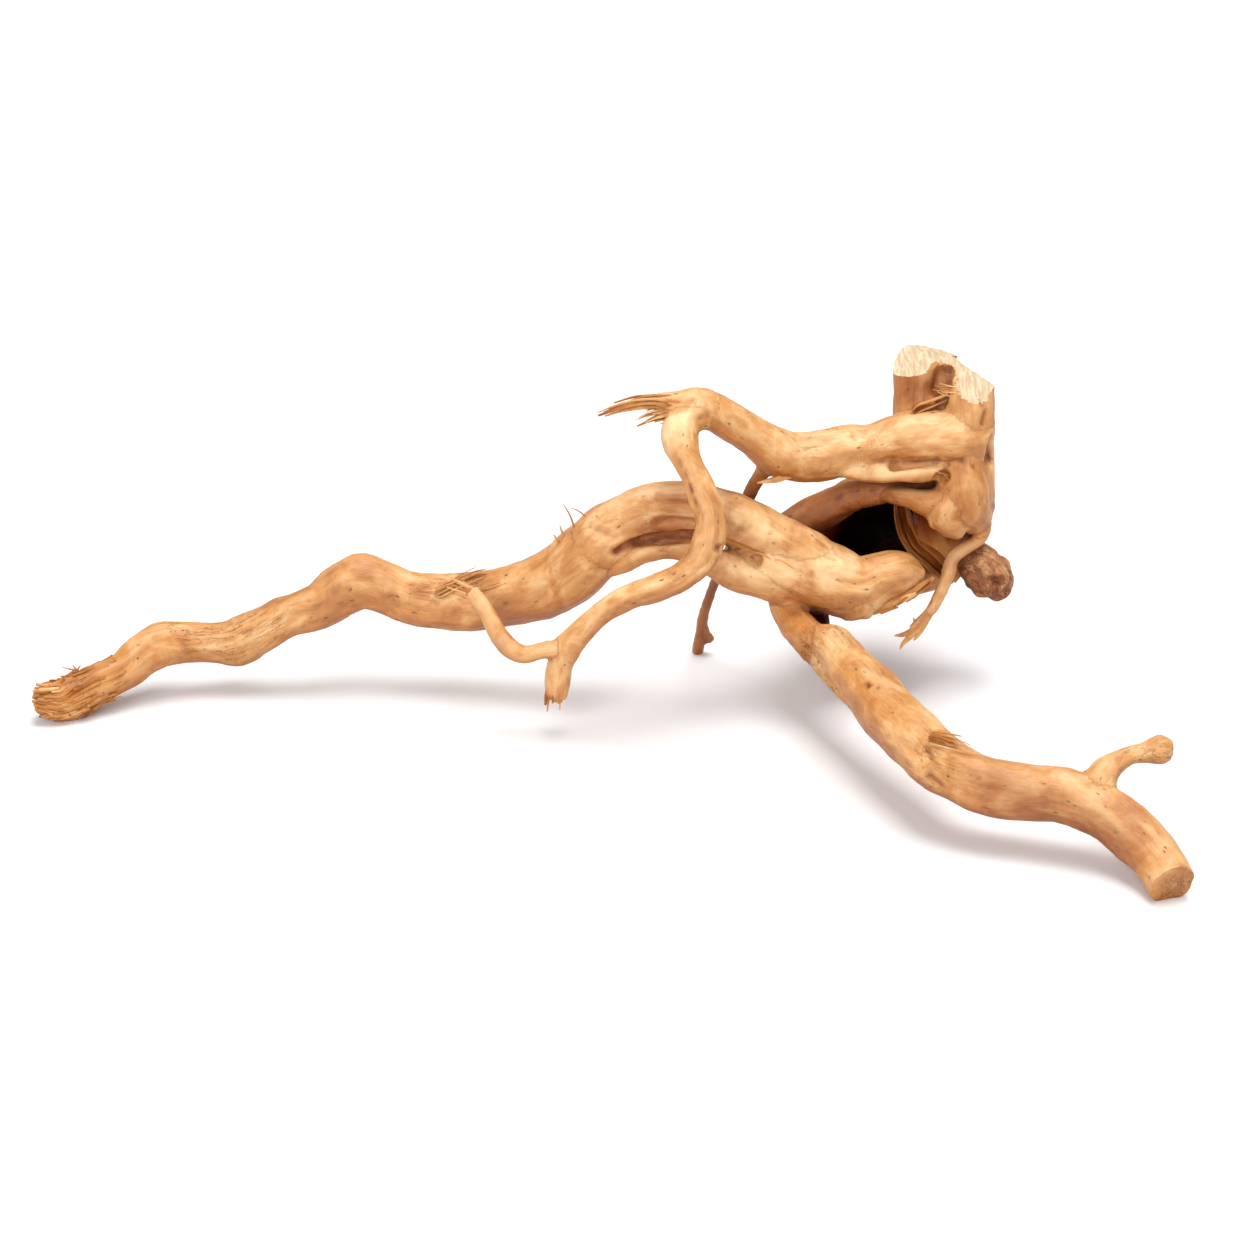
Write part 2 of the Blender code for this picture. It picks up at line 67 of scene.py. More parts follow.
# The distance over which one limb's tone passes into the next, how far apart the grain of two
# limbs lies, and how many points are matched to the limbs at a time
TONE_BLEND = 1.6
GRAIN_SHIFT = 400
BATCH = 3000

# Facets of this size are evened as often as the skin's modifiers say; finer ones more often
EVENED_DETAIL = 1.5 * MM

# How many steps a torn cut has each way, how near to its plane and middle a sawn face lies
CUT_STEPS = 46
ON_CUT = 1.3
CUT_REACH = 26
CREASE_REACH = 7.5

# Rays that feel how open the skin is to the light: their number, start, lean and reach
RAYS = 14
RAY_START = 0.0006
RAY_LEAN = 1.02
RAY_REACH = 0.028

# The lowest that a torn fibre may lie, and the step between its stations
CLEARANCE = 0.2
FIBRE_STEP = 2.5

# The left tip's face: its middle and half its size, in y and z, and how many fibres end there
TIP_MIDDLE = (18.5, 11.2)
TIP_HALF = (6.4, 7.0)
TIP_STUBS = 60

# Limbs as stations (x, y, z, radius), each from its root or lower end to its tip
LIMBS = {
    "left_limb": [
        (-257.5, 18, 11, 5.5), (-252, 20, 10, 8), (-244, 23, 9.3, 9.6), (-229, 31, 14, 9.3),
        (-218, 37, 17.5, 9.3), (-209, 43, 23.5, 10.2), (-202, 47, 26, 11), (-191, 50, 26, 10),
        (-177, 52, 25, 10), (-166, 53, 25, 12), (-155, 53, 31, 11), (-140, 53, 39, 10.5),
        (-125, 55, 44, 11.5), (-115, 56, 51, 13), (-107, 57, 55, 14), (-96, 57, 53, 12.5),
        (-87, 56, 49, 12), (-75, 55, 46, 13), (-53, 53, 46, 14), (-36, 51, 50, 14),
        (-19, 48, 56, 15), (-6, 46, 64, 16), (6, 43, 77, 16),
    ],
    "upper_strand": [
        (-6, 46, 63, 14), (10, 42, 82, 15.5), (20, 41, 91, 14.5), (30, 40, 97.5, 13),
        (47, 39, 100.5, 13), (66, 39, 97, 12.8), (85, 40, 88, 12.3), (104, 41, 76, 13),
        (118, 42, 66, 13),
    ],
    "lower_strand": [
        (2, 41, 68, 7), (20, 33, 76, 5.5), (30, 31, 81.5, 5), (40, 30, 84, 5), (52, 30, 82.5, 5.2),
        (61, 30, 78, 6.5), (73, 33, 71, 9.5), (90, 36, 65, 10), (104, 38, 62, 11),
        (118, 41, 60, 12),
    ],
    "broken_end": [
        (85, 41, 78, 14), (104, 42, 69, 17), (114, 42, 65, 17), (124, 43, 60.5, 16.5),
        (133, 44, 59, 15), (143, 46, 62, 12.5), (153, 49, 63, 11), (162, 52, 60, 6),
    ],
    "hanging_knob": [(129, 42, 59, 12), (131, 38, 53, 10), (132, 35, 45.5, 6)],
    "upper_limb": [
        (190, 68, 124, 12), (180, 68, 126, 14.5), (166, 68, 127, 14), (152, 67, 125.5, 12),
        (137, 65, 121.5, 10.8), (126, 64, 120, 11.8), (114, 61, 118, 12), (102, 58, 119, 11.8),
        (93, 55, 122.5, 11.6), (84, 52, 130, 10), (75, 49, 137, 9.4), (66, 46, 144, 9.2),
        (58, 43, 149, 9), (51, 41, 151, 8.5),
    ],
    "under_strand": [
        (122, 58, 114, 5), (137, 56.5, 112, 5.2), (151, 57, 111.8, 5.2), (165, 57, 111.6, 4.8),
        (173, 59, 114, 4),
    ],
    "fork_stub": [(58, 42, 150, 8.5), (51, 40, 152.5, 7), (43, 38, 154, 5), (35, 36, 155, 3.6)],
    "descending_limb": [
        (55, 42, 148, 9.5), (48, 36, 145, 8.6), (47, 29, 138.5, 8), (50, 23, 131, 6.5),
        (54.5, 17, 124, 6.3), (58, 11, 116, 6.9), (60.5, 7, 108, 7), (60, 4, 100, 7.2),
        (56, 2, 91, 7.2), (47.5, 1, 83, 6.4), (38, 1, 78, 6.6), (28, 1, 74.5, 5.8), (19, 2, 70, 5.8),
        (10, 3, 63, 5.6), (2, 4, 54, 5.9), (-5, 5, 45, 6.6), (-9, 6, 35, 5.8),
        (-10, 6, 25, 6), (-10, 6, 18, 5),
    ],
    "side_twig": [
        (-2, 5, 46, 5), (-16, 4, 44, 4.3), (-25, 3, 42, 4.6), (-31, 4, 44, 5), (-37, 8, 50, 4.6),
        (-41, 12, 56, 4.2), (-45, 16, 62, 4), (-50, 21, 66.5, 3.6),
    ],
    "rear_twig": [
        (95, 55, 122, 6), (90, 56, 117, 4.6), (84, 58, 107, 3.6), (80, 61, 97, 3.4),
        (76, 68, 77, 3.1), (66, 79, 46, 2.7), (61, 87, 25, 2.7), (59, 91, 12, 2.8),
        (58, 94, -1, 3.2),
    ],
    "rear_toe": [(60, 89, 18, 2.2), (62, 91, 11, 2.3), (65, 92, 7, 1.9)],
    "front_neck": [(98, 46, 58, 9.5), (99.5, 34, 49, 7.8), (105, 22, 45, 8.2), (111, 10, 43.5, 9.5)],
    "hidden_neck": [
        (106, 54, 58, 11), (110, 54, 42, 9.5), (113, 40, 32, 8), (114, 26, 33, 8), (116, 12, 40, 8.5),
    ],
    "front_limb": [
        (112, 15, 43.5, 8.5), (117, 6, 43.5, 11.4), (125, -12, 41, 12.4), (133, -29, 39, 13),
        (141, -48, 36, 13.6), (150, -66, 34, 13.6), (159, -84, 32, 13.3), (171, -95, 29, 12.9),
        (184, -100, 27, 12.7), (196, -103, 27, 12.4), (208, -107, 28, 12.4),
        (220, -111, 25.5, 12.3), (230, -117, 21.5, 11.6), (238.5, -124, 17, 11.4),
        (244, -131, 14, 11), (247.5, -138, 11, 10.6), (251, -150, 8, 10.2), (254, -160, 7, 10.2),
    ],
    "front_stub": [
        (222, -109, 30, 8), (228.5, -106, 40, 6), (237, -104, 45, 4.4), (244, -102, 45.5, 4.8),
        (251, -101, 46.5, 6.6), (256, -101, 46, 4.6),
    ],
    "back_stump": [
        (165, 95, 170, 16.5), (165, 91, 155, 16.5), (165, 86, 145, 16), (165, 82, 133, 16),
        (167, 76, 122, 14),
    ],
    "front_stump": [
        (186, 77.5, 164, 11.2), (184.5, 75, 150, 11.5), (184, 70, 138, 12.6), (185, 68, 124, 12),
        (187.5, 67, 108, 10.5), (190, 67, 96, 8.5),
    ],
    "trunk": [(174, 72, 130, 14), (180, 69, 116, 13.5), (182, 68, 103, 12), (184, 70, 90, 11)],
    "collar_front": [
        (182, 63, 114, 10.5), (182, 58, 104, 12), (184, 57, 94, 11), (190, 60, 84.5, 7.5),
    ],
    "collar_arm": [
        (181, 60, 101, 11), (173, 57, 96, 8.8), (165, 57.5, 95.5, 6.8), (158, 60, 96.5, 5.2),
        (151, 65, 96.5, 4.4), (144, 70, 96, 3.6),
    ],
    "collar_lip": [(177, 56, 96, 10), (173, 53, 90, 8.5), (182, 54, 85, 7)],
    "arch": [
        (178, 78, 104, 9), (162, 75, 99.5, 8), (147, 72, 97.5, 6.6), (130, 76, 91.5, 8),
        (116, 77, 83.5, 9.6), (103, 72, 78, 9), (93, 60, 74, 9),
    ],
    "vault": [
        (178, 84, 100, 9), (160, 88, 97, 7), (145, 90, 93, 6), (128, 89, 88, 6), (110, 76, 74, 9),
    ],
    "inner_wall": [
        (178, 85, 84, 11), (160, 97, 83.5, 11.5), (142, 100, 79, 12), (124, 93, 71, 12),
        (106, 68, 62, 12),
    ],
    "wall_foot": [(180, 80, 64, 11), (160, 92, 62, 12), (140, 92, 58, 12), (120, 76, 54, 12)],
    "cave_floor": [(180, 74, 56, 9), (158, 74, 52, 12), (138, 72, 49, 12), (116, 60, 50, 11)],
    "lower_trunk": [
        (189, 68, 98, 9.5), (188, 70, 86, 9.5), (184, 73, 76, 10), (181, 74, 65, 10),
        (184, 75, 55, 8),
    ],
    "burl": [(184, 72, 60, 8), (191, 70, 59, 11), (198, 70, 53, 11.5), (203, 70, 47, 9),
             (206.5, 70, 42.5, 5)],
    "rootlet": [
        (192, 62, 85, 5), (191, 59, 77.5, 3.6), (184, 56, 73, 3.2), (178, 54, 69, 3.2),
        (176, 52, 62, 3.4), (172.5, 50, 53, 3), (168.5, 48, 45, 2.9), (162, 46, 38, 2.8),
        (158.5, 45, 34.5, 2.4),
    ],
}

# How bright each limb's wood is, where it isn't the common honey tan of 1. The cave's vault, inner
# wall, wall foot and floor are painted near black as the cave's shade, and the arch, the back stump and
# both necks are darkened as painted shade
LIMB_TONES = {
    "arch": 0.55, "vault": 0.08, "inner_wall": 0.01, "wall_foot": 0.01, "cave_floor": 0.03,
    "lower_trunk": 0.6, "rear_twig": 0.5, "rear_toe": 0.45, "back_stump": 0.66, "trunk": 0.88,
    "hidden_neck": 0.15, "front_neck": 0.78, "collar_lip": 0.8, "collar_front": 0.84,
    "hanging_knob": 0.95, "burl": 0.9, "collar_arm": 0.84, "left_limb": 0.89,
    "front_stump": 0.9, "front_limb": 0.9, "front_stub": 0.92, "side_twig": 0.95,
}

# The middle of the cave, the tone below which wood belongs to it and is painted as the cave's shade,
# and how bright its walls are on their outer side, out of that shade
CAVE = (143, 78, 78)
CAVE_TONE = 0.3
WALL_TONE = 0.74

# The burl from its neck to its tip, and the rootlet that crosses it without bark
BURL = ((190, 71, 57), (207, 70, 42))
BARE = ((192, 59, 78), (178, 53, 66))

CROTCHES = [
    (52, 40, 147, 16), (-4, 6, 46, 12), (225, -109, 34, 11), (160, 70, 132, 14),
    (124, 42, 60, 22), (91, 56, 118, 12), (-4, 44, 70, 18), (186, 62, 100, 18),
    (194, 70, 56, 14), (98, 66, 74, 14), (112, 8, 42, 17),
]

# Dark pits, as (start, end, reach, depth, reach of the stain, darkening)
DARK_PITS = [
    ((5, 32, 94), (16, 27, 91), 3.5, 1.6, 2, 0.4), ((64, -2, 98), (66, 0, 97), 3, 2, 2.8, 1),
    ((174.8, 56.7, 119.4), (179.9, 55.4, 117.9), 2.6, 1.4, 1.8, 0.75),
    ((179.9, 55.4, 117.9), (184.6, 52.9, 111.3), 3, 3, 2.3, 0.95),
    ((190.4, 60.2, 140.5), (189.2, 58.4, 135.3), 2.4, 1.4, 1.9, 0.9),
    ((130.6, -40.8, 48), (131.4, -43, 47.7), 2.6, 1.8, 2.2, 0.95),
    ((152, -90, 41), (153, -94, 39), 3, 2, 2.2, 1),
    ((153, -97, 32), (157, -101, 29), 3.5, 2, 2.5, 1),
    ((170, 53, 110), (172, 53, 111), 4, 3.5, 3.5, 0.9),
    ((158, 67, 139), (170, 68, 138), 4, 3, 5, 0.7),
]

# Hollows and grooves pressed into the skin, as (start, end, reach, depth)
HOLLOWS = [
    ((33, 31, 107), (53, 27, 104), 8, 3.5), ((40, 28, 98), (54, 26, 97), 9, 4),
    ((17, 27, 84), (25, 28, 88), 4, 3), ((25, 28, 88), (54, 29, 91), 4, 3),
    ((66, 30, 90), (84, 30, 79), 3, 1), ((-110, 43, 50), (-92, 43, 48), 11, 2),
    ((184.6, 52.9, 111.3), (191, 57, 106), 3, 2.6), ((195, 62, 125), (195, 60, 117), 5.5, 5),
    ((148, 54, 117), (168, 53, 118), 4, 4), ((175, 80, 154), (172, 71, 150), 5, 4),
    ((172, 71, 150), (171, 69, 138), 5, 4.5), ((168, 72, 148), (173, 75, 157), 7, 4.5),
    ((168, 70, 74), (177, 68, 74), 7, 4), ((104, 4, 46), (118, -34, 35), 9, 2),
    ((120, 26, 70), (134, 30, 68), 8, 1.5), ((196, 61, 60), (203, 62, 52), 6, 1.5),
]

# Knotty places, as (x, y, z, reach), the height of their bumps and how far apart those are
KNOTTY = [
    ((199, 68, 52, 24), 4, 6), ((158, 50, 63, 13), 1.3, 6), ((190, 62, 122, 14), 1.2, 7),
    ((164, 78, 142, 20), 2, 6), ((-107, 57, 58, 20), 0.8, 9), ((60, 6, 108, 12), 0.6, 5),
    ((150, -80, 38, 26), 0.8, 9), ((128, 44, 60, 20), 0.8, 8),
]

# The dark crease between the two stumps, where nothing is sawn
CREASE = ((170, 71, 148), (171, 73.5, 156))

# Stained places, painted shade and painted highlights, as (start, end, reach, darkening); a negative
# one is bleached, and the broad negative ones on the limbs' lit tops are painted highlights
STAINS_AND_LIGHT = [
    ((-258, 18, 11), (-237, 28, 14), 13, 0.75), ((134, 40, 50), (160, 46, 56), 5, 0.8),
    # The next four paint the shade in the hollow and groove under the descending limb
    ((36, 34, 110), (54, 30, 110), 7, 0.45), ((30, 29, 97), (54, 29, 97), 13, 0.34),
    ((17, 28, 83), (25, 30, 87), 3.2, 0.85), ((25, 30, 87), (54, 31, 90.5), 5.5, 0.8),
    ((194.1, 65.3, 120.6), (193.7, 63.8, 115.1), 3.2, 0.95),
    ((152.4, 57.1, 116.7), (171.6, 57.4, 118), 2.4, 0.75),
    ((184.6, 52.9, 111.3), (188.5, 52.7, 108.9), 2.2, 0.9),
    ((188.5, 52.7, 108.9), (193, 60.5, 103.2), 2, 0.7), ((175, 80, 154), (171, 69, 138), 5, 0.6),
    ((158, 73, 149.5), (160, 70, 143), 9, 0.3), ((165, 73, 152), (167.6, 72.3, 144.6), 7, 0.6),
    # Below, the two of 0.95 paint the shade deep in the cave, and the one of 0.8 along the neck under
    # the lower strand paints the shade there
    ((146, 40, 51), (164, 50, 56), 8, 0.55), ((146, 84, 76), (162, 86, 82), 16, 0.95),
    ((132, 78, 66), (150, 84, 72), 15, 0.95), ((104, 40, 46), (122, 40, 42), 12, 0.8),
    ((188, 60.4, 144), (188, 60.4, 145), 1.6, 1), ((128, 62, 70), (140, 58, 68), 8, 0.35),
    ((180, -114, 32), (236, -132, 16), 18, 0.5), ((140.7, 66.5, 97), (139.3, 67.6, 99), 2, 0.5),
    ((124.8, 70.1, 94.7), (123.4, 69.3, 92.4), 2.2, 0.6),
    ((51.1, 11, 123.7), (52.4, 9, 121.3), 1.6, 1), ((46.6, 18, 133.1), (47.4, 16.6, 131), 1.6, 0.8),
    ((49.3, 14.8, 129.5), (49.8, 13.6, 127.6), 1.6, 0.8),
    ((53.3, 6.4, 118.2), (54, 5.8, 116.6), 1.6, 0.8),
    ((-109.8, 44.6, 56.3), (-109, 44.6, 56), 1.4, 0.9), ((-114, 45, 49), (-113, 45, 48.6), 1.6, 0.7),
    ((-35.5, 36.8, 53.1), (-34.6, 36.8, 53), 1.4, 0.9), ((111, 35.7, 86), (116.2, 35.4, 82), 1.6, 0.7),
    ((96.2, 27.6, 80.3), (101.3, 26.9, 77.6), 1.6, 0.7),
    ((-70.3, 44.2, 53.4), (-64.5, 41.3, 51), 1.8, -0.8),
    ((-156.6, 43.6, 34.7), (-152.4, 48.5, 43), 1.6, -0.7),
    ((-148.3, 43.3, 37), (-147.4, 47.3, 44.6), 1.6, -0.6),
    # The broad negative ones from here on, on the limbs' lit tops, are painted highlights
    ((-142.9, 43.2, 39.1), (-138.4, 44.1, 45), 1.6, -0.7), ((2, 36, 97), (19.2, 38.9, 105.9), 8, -0.5),
    ((19.2, 38.9, 105.9), (47, 32.9, 112.3), 7, -0.5), ((62, 28, 103), (96, 28, 94), 14, -0.65),
    ((85, 27, 78), (116, 28, 72), 17, -0.8), ((120, -5, 54), (140, -45, 47), 10, -0.55),
    ((108, 48, 113), (142, 54, 113), 9, -0.5), ((-120, 46, 56), (-90, 45, 60), 10, -0.2),
    ((150, -62, 46), (190, -98, 38), 7, -0.2), ((55, 15, 128), (62, 4, 104), 6, -0.3),
    ((100, 50, 128), (150, 57, 130), 8, -0.2), ((-60, 42, 55), (-20, 38, 62), 9, -0.15),
    ((246, -149, 10), (254, -148, 5), 10, -0.5),
]

# The sawn faces, as a point on each, its normal and the size of what it takes off. The last one
# is the front tip's, which is smoother and keeps the finish of its limb
SAWN = [
    ((163, 91, 157.7), (-0.42, -0.13, 1), (60, 60, 30)),
    ((166, 91, 158.1), (0.15, 0.12, 1), (60, 60, 30)),
    ((190, 72, 150.8), (0.18, -0.42, 1), (33, 50, 30)),
    ((190, 80, 150.8), (0.64, 0.2, 1), (40, 50, 30)),
    ((250.5, -149, 8), (0.3, -1, -0.25), (40, 40, 20)),
]
TIP_ROUGHNESS = 0.3 * MM
GROUND = ((0, 0, 0), (0, 0, -1), (700, 500, 30))

# Pieces of torn strands, each as its bundles: stations (x, y, z, spread), number of strands,
# width, seed, least share of the way, wobble and, in places, flatness and latest start
BUNDLES = {
    "torn_fork": [
        ([(54, 40, 152, 5.5), (45, 38.5, 153.4, 4.4), (36, 36.5, 155.2, 4.2), (27, 35, 155.2, 3.6),
          (17, 33, 153, 2.6), (9, 32, 150.3, 1.8)], 26, 1.25, 21, 0.5, 1.0),
        ([(52, 38.5, 150, 4), (46, 37, 150, 3.6), (39, 36, 149.6, 3.8), (32, 35, 148.4, 3.8),
          (26, 34, 145.6, 3.2)], 20, 0.95, 22, 0.4, 2),
    ],
    "torn_side_twig": [
        ([(-43, 14, 59.5, 2.4), (-48, 18.5, 64, 3.2), (-54, 21.5, 67, 4.2), (-61, 24, 68.6, 5.2)],
         16, 1.2, 23, 0.6, 0.8),
    ],
    "torn_hanging_end": [
        ([(-9.5, 6, 31, 3.6), (-10, 5.6, 24, 4.6), (-10.5, 5.6, 17.5, 5), (-11, 5.6, 12.4, 5.2)],
         20, 1.25, 24, 0.7, 0.5),
    ],
    "torn_broken_end": [
        ([(140, 38, 50, 1.4), (148, 38.5, 52, 2.4), (156, 41.5, 55.5, 2.8), (164, 45.5, 59, 2.4),
          (171, 49, 62, 1.5)], 20, 2.3, 25, 0.35, 1.6, (0.14, 0.26), 0.55),
        ([(134, 36.5, 47.5, 1.2), (142, 38, 49.5, 2), (150, 40, 52, 1.6)],
         8, 1.8, 26, 0.5, 2.0, (0.2, 0.4), 0.4),
    ],
    "frayed_knots": [
        ([(-68, 44, 55, 3), (-60, 46, 58, 3), (-51, 48.5, 61.5, 3), (-42, 50, 63, 2.6)],
         18, 0.7, 41, 0.4, 2),
        ([(-50, 41.5, 57, 1.5), (-40, 42, 60, 1.5), (-32, 41, 62, 1.2)], 5, 0.6, 42, 0.6, 0.5),
        ([(154, -86, 44.5, 3.4), (163, -91.5, 45, 4), (172, -95, 42, 3.4)],
         16, 0.6, 43, 0.35, 2.4),
        ([(177, 67, 148.5, 2.6), (172, 66, 149.5, 3), (166, 65.5, 151.5, 3.4)],
         11, 0.4, 44, 0.5, 1.8),
        ([(166, 55, 112, 2.2), (171, 54, 111, 2.4), (175, 53, 108, 2.2)], 8, 0.22, 45, 0.5, 1.8),
    ],
}

# Single fingers, curls, tufts and hairs of a piece: their step, sides, tone and unevenness, and
# then each one's flatness and stations (x, y, z, radius)
LINES = {
    "frayed_tip": (1.0, 5, 0.75, 0.0, [
        (1, [(-236, 28, 19, 0.7), (-240, 27, 22.5, 0.55), (-243, 27, 23.2, 0.35),
             (-245.6, 27, 24, 0.2)]),
        (1, [(-237, 28, 19, 0.7), (-239.6, 28, 22.6, 0.5), (-241, 28, 24.8, 0.2)]),
        (1, [(-238, 28, 19, 0.7), (-238.4, 27.5, 22.6, 0.5), (-237, 28, 24.6, 0.2)]),
        (1, [(-237, 28, 19, 0.6), (-237, 27, 22.5, 0.5), (-232.8, 27.6, 24.6, 0.2)]),
        (1, [(-220, 32, 24, 0.5), (-222, 31, 26.5, 0.4), (-223.4, 31, 27.8, 0.2)]),
    ]),
    "torn_rootlet": (1.5, 7, 0.9, 0.2, [
        (0.85, [(167, 46.5, 43, 2.2), (160, 44.5, 35.5, 2.0), (155, 43.5, 33.4, 1.3),
                (150.6, 43, 33, 0.5)]),
        (0.85, [(167, 46.5, 42, 2.2), (159, 44, 33, 1.8), (155, 43, 29, 1.1), (153.6, 43, 25.8, 0.4)]),
        (0.85, [(163, 46, 37, 1.3), (160.6, 45, 39, 0.8), (159.4, 45, 41.6, 0.3)]),
        (0.85, [(168, 48, 42, 1.4), (163, 45, 34, 1.3), (160, 44, 30, 0.5)]),
    ]),
    "stump_curls": (1.2, 7, 0.95, 0.15, [
        (0.6, [(157, 71, 136, 1.0), (159.5, 68, 141, 1.2), (165, 66.6, 143.7, 1.3),
               (173, 69, 146, 1.2)]),
        (0.5, [(158, 70, 135, 0.9), (161, 67, 138.5, 1.2), (166, 66.4, 141, 1.2),
               (173, 68.5, 143.4, 1.0)]),
        (0.8, [(99, 53, 113, 2.8), (93, 51, 110.6, 1.9), (87, 50, 109.6, 1.0), (83.6, 50, 109, 0.4)]),
    ]),
    "loose_hairs": (1.2, 5, 0.9, 0.0, [
        (1, [(-1, 41, 85, 0.7), (-3.3, 40, 94.3, 0.5), (-5.5, 40, 99.4, 0.35), (-7.4, 40, 102.4, 0.2)]),
        (1, [(4, 41, 95, 0.5), (-0.9, 40, 99.4, 0.3), (-3.7, 40, 100.1, 0.2)]),
        (1, [(-6, 41, 83, 0.9), (-8, 40, 88.5, 0.6), (-9, 40, 91.5, 0.3)]),
        (1, [(-8, 41, 80, 0.9), (-10.5, 40, 84.5, 0.6), (-12, 40, 87, 0.3)]),
        (1, [(89, 27.5, 79, 0.5), (94, 26.5, 79.5, 0.5), (99, 26, 76.5, 0.4), (103, 26, 73, 0.3)]),
        (1, [(81, 29.5, 83, 0.5), (86, 27.5, 82, 0.5), (90, 27, 79.5, 0.4)]),
    ]),
}

# The bowl's outer and inner sheet and its wall, as stations (x, y, z, radius), and the wall's tones
# from top to foot: painted shade, dark under the collar and lighter towards the foot
OUTER_SHEET = [(154.5, 63, 94, 3), (157.5, 62, 85, 4), (163.5, 61, 75, 4.5), (172.5, 60, 66, 4),
               (178, 61.5, 58, 3)]
INNER_SHEET = [(150, 67, 93, 3), (151.5, 65.5, 81, 4), (156, 64, 71, 4.5), (165, 62.5, 62.5, 4),
               (175, 64, 53, 3)]
SHEETS = 11
BOWL_WALL = [(164, 66, 93, 8), (166.5, 66, 83, 8.5), (171, 66, 73, 9), (178, 65.5, 63, 8),
             (184, 66, 55, 6)]
BOWL_WALL_SHADE = ((0, 0.3, 0.6, 1), (0.1, 0.3, 0.78, 0.62))

# The camera's place and tilt, its focal length and the width of its sensor
CAMERA = Vector((22.5, -1133, 586))
CAMERA_TILT = 65
LENS = 77.914
SENSOR = 36

# The lights as name, place, power setting and size, and the point that they shine on
LIGHTS = (
    ("key_light", (0.5, 0.25, 3.8), "key_power", 2.3),
    ("fill_light", (-1.2, -3.0, 1.9), "fill_power", 1.8),
)
LIT_POINT = Vector((0.03, 0, 0.05))


class RootSizes(bpy.types.PropertyGroup):
    """Sizes of the wood's skin and of its torn fibres."""

    skin_detail: FloatProperty(
        name="Skin detail", description="Size of the skin's facets", default=1.34 * MM,
        min=0.8 * MM, max=4 * MM, unit="LENGTH", precision=4)
    grain_relief: FloatProperty(
        name="Grain relief", description="Height of the ridges along the grain",
        default=0.5 * MM, min=0, max=2 * MM, unit="LENGTH", precision=4)
    saw_roughness: FloatProperty(
        name="Saw roughness", description="Height of the torn ridges on the sawn faces",
        default=0.4 * MM, min=0, max=3 * MM, unit="LENGTH", precision=4)
    fibre_thickness: FloatProperty(
        name="Fibre thickness", description="Width of a torn strand", default=1.5 * MM,
        min=0.5 * MM, max=4 * MM, unit="LENGTH", precision=4)
    tip_strips: IntProperty(
        name="Tip strips", description="Torn strips on the left tip", default=105, min=0, max=300)


class WoodColours(bpy.types.PropertyGroup):
    """Colours of the peeled wood, its sawn faces and its bark."""

    cream: FloatVectorProperty(
        name="Cream", description="Bleached patches", default=(0.93, 0.64, 0.34),
        size=3, subtype="COLOR", min=0, max=1)
    honey: FloatVectorProperty(
        name="Honey", description="The common tone of the peeled wood",
        default=(0.68, 0.31, 0.09), size=3, subtype="COLOR", min=0, max=1)
    amber: FloatVectorProperty(
        name="Amber", description="Deeper orange-brown patches", default=(0.44, 0.155, 0.03),
        size=3, subtype="COLOR", min=0, max=1)
    # This dark brown colours specks, cracks and seams, and also paints the shade in the cave and in the
    # groove under the descending limb
    umber_and_shade: FloatVectorProperty(
        name="Umber", description="Old dark wood in hollows", default=(0.05, 0.018, 0.007),
        size=3, subtype="COLOR", min=0, max=1)
    sawn: FloatVectorProperty(
        name="Sawn wood", description="Pale freshly cut faces", default=(0.88, 0.7, 0.47),
        size=3, subtype="COLOR", min=0, max=1)
    bark: FloatVectorProperty(
        name="Bark", description="Red-brown bark on the burl", default=(0.44, 0.145, 0.06),
        size=3, subtype="COLOR", min=0, max=1)


class StageSettings(bpy.types.PropertyGroup):
    """The floor, the light and the camera."""

    floor: FloatVectorProperty(
        name="Floor", description="Colour of the floor", default=(0.9, 0.9, 0.905),
        size=3, subtype="COLOR", min=0, max=1)
    key_power: FloatProperty(
        name="Key light", description="Power of the large light above", default=128, min=0)
    fill_power: FloatProperty(
        name="Fill light", description="Power of the light at the front", default=60, min=0)
    sky: FloatProperty(
        name="Sky", description="Strength of the even light from all round", default=0.54, min=0)


class Value:
    """A socket that sums like a number: each operator adds a Math node."""

    def __init__(self, paint, socket):
        self.paint = paint
        self.socket = socket

    def math(self, operation, *others, clamp=False):
        return self.paint.node(
            "ShaderNodeMath", {"operation": operation, "use_clamp": clamp}, [self, *others])

    def __add__(self, other):
        return self.math("ADD", other)

    __radd__ = __add__

    def __sub__(self, other):
        return self.math("SUBTRACT", other)

    def __rsub__(self, other):
        return self.paint.node("ShaderNodeMath", {"operation": "SUBTRACT"}, [other, self])

    def __mul__(self, other):
        return self.math("MULTIPLY", other)

    __rmul__ = __mul__

    def clamped(self):
        return self.math("ADD", 0.0, clamp=True)


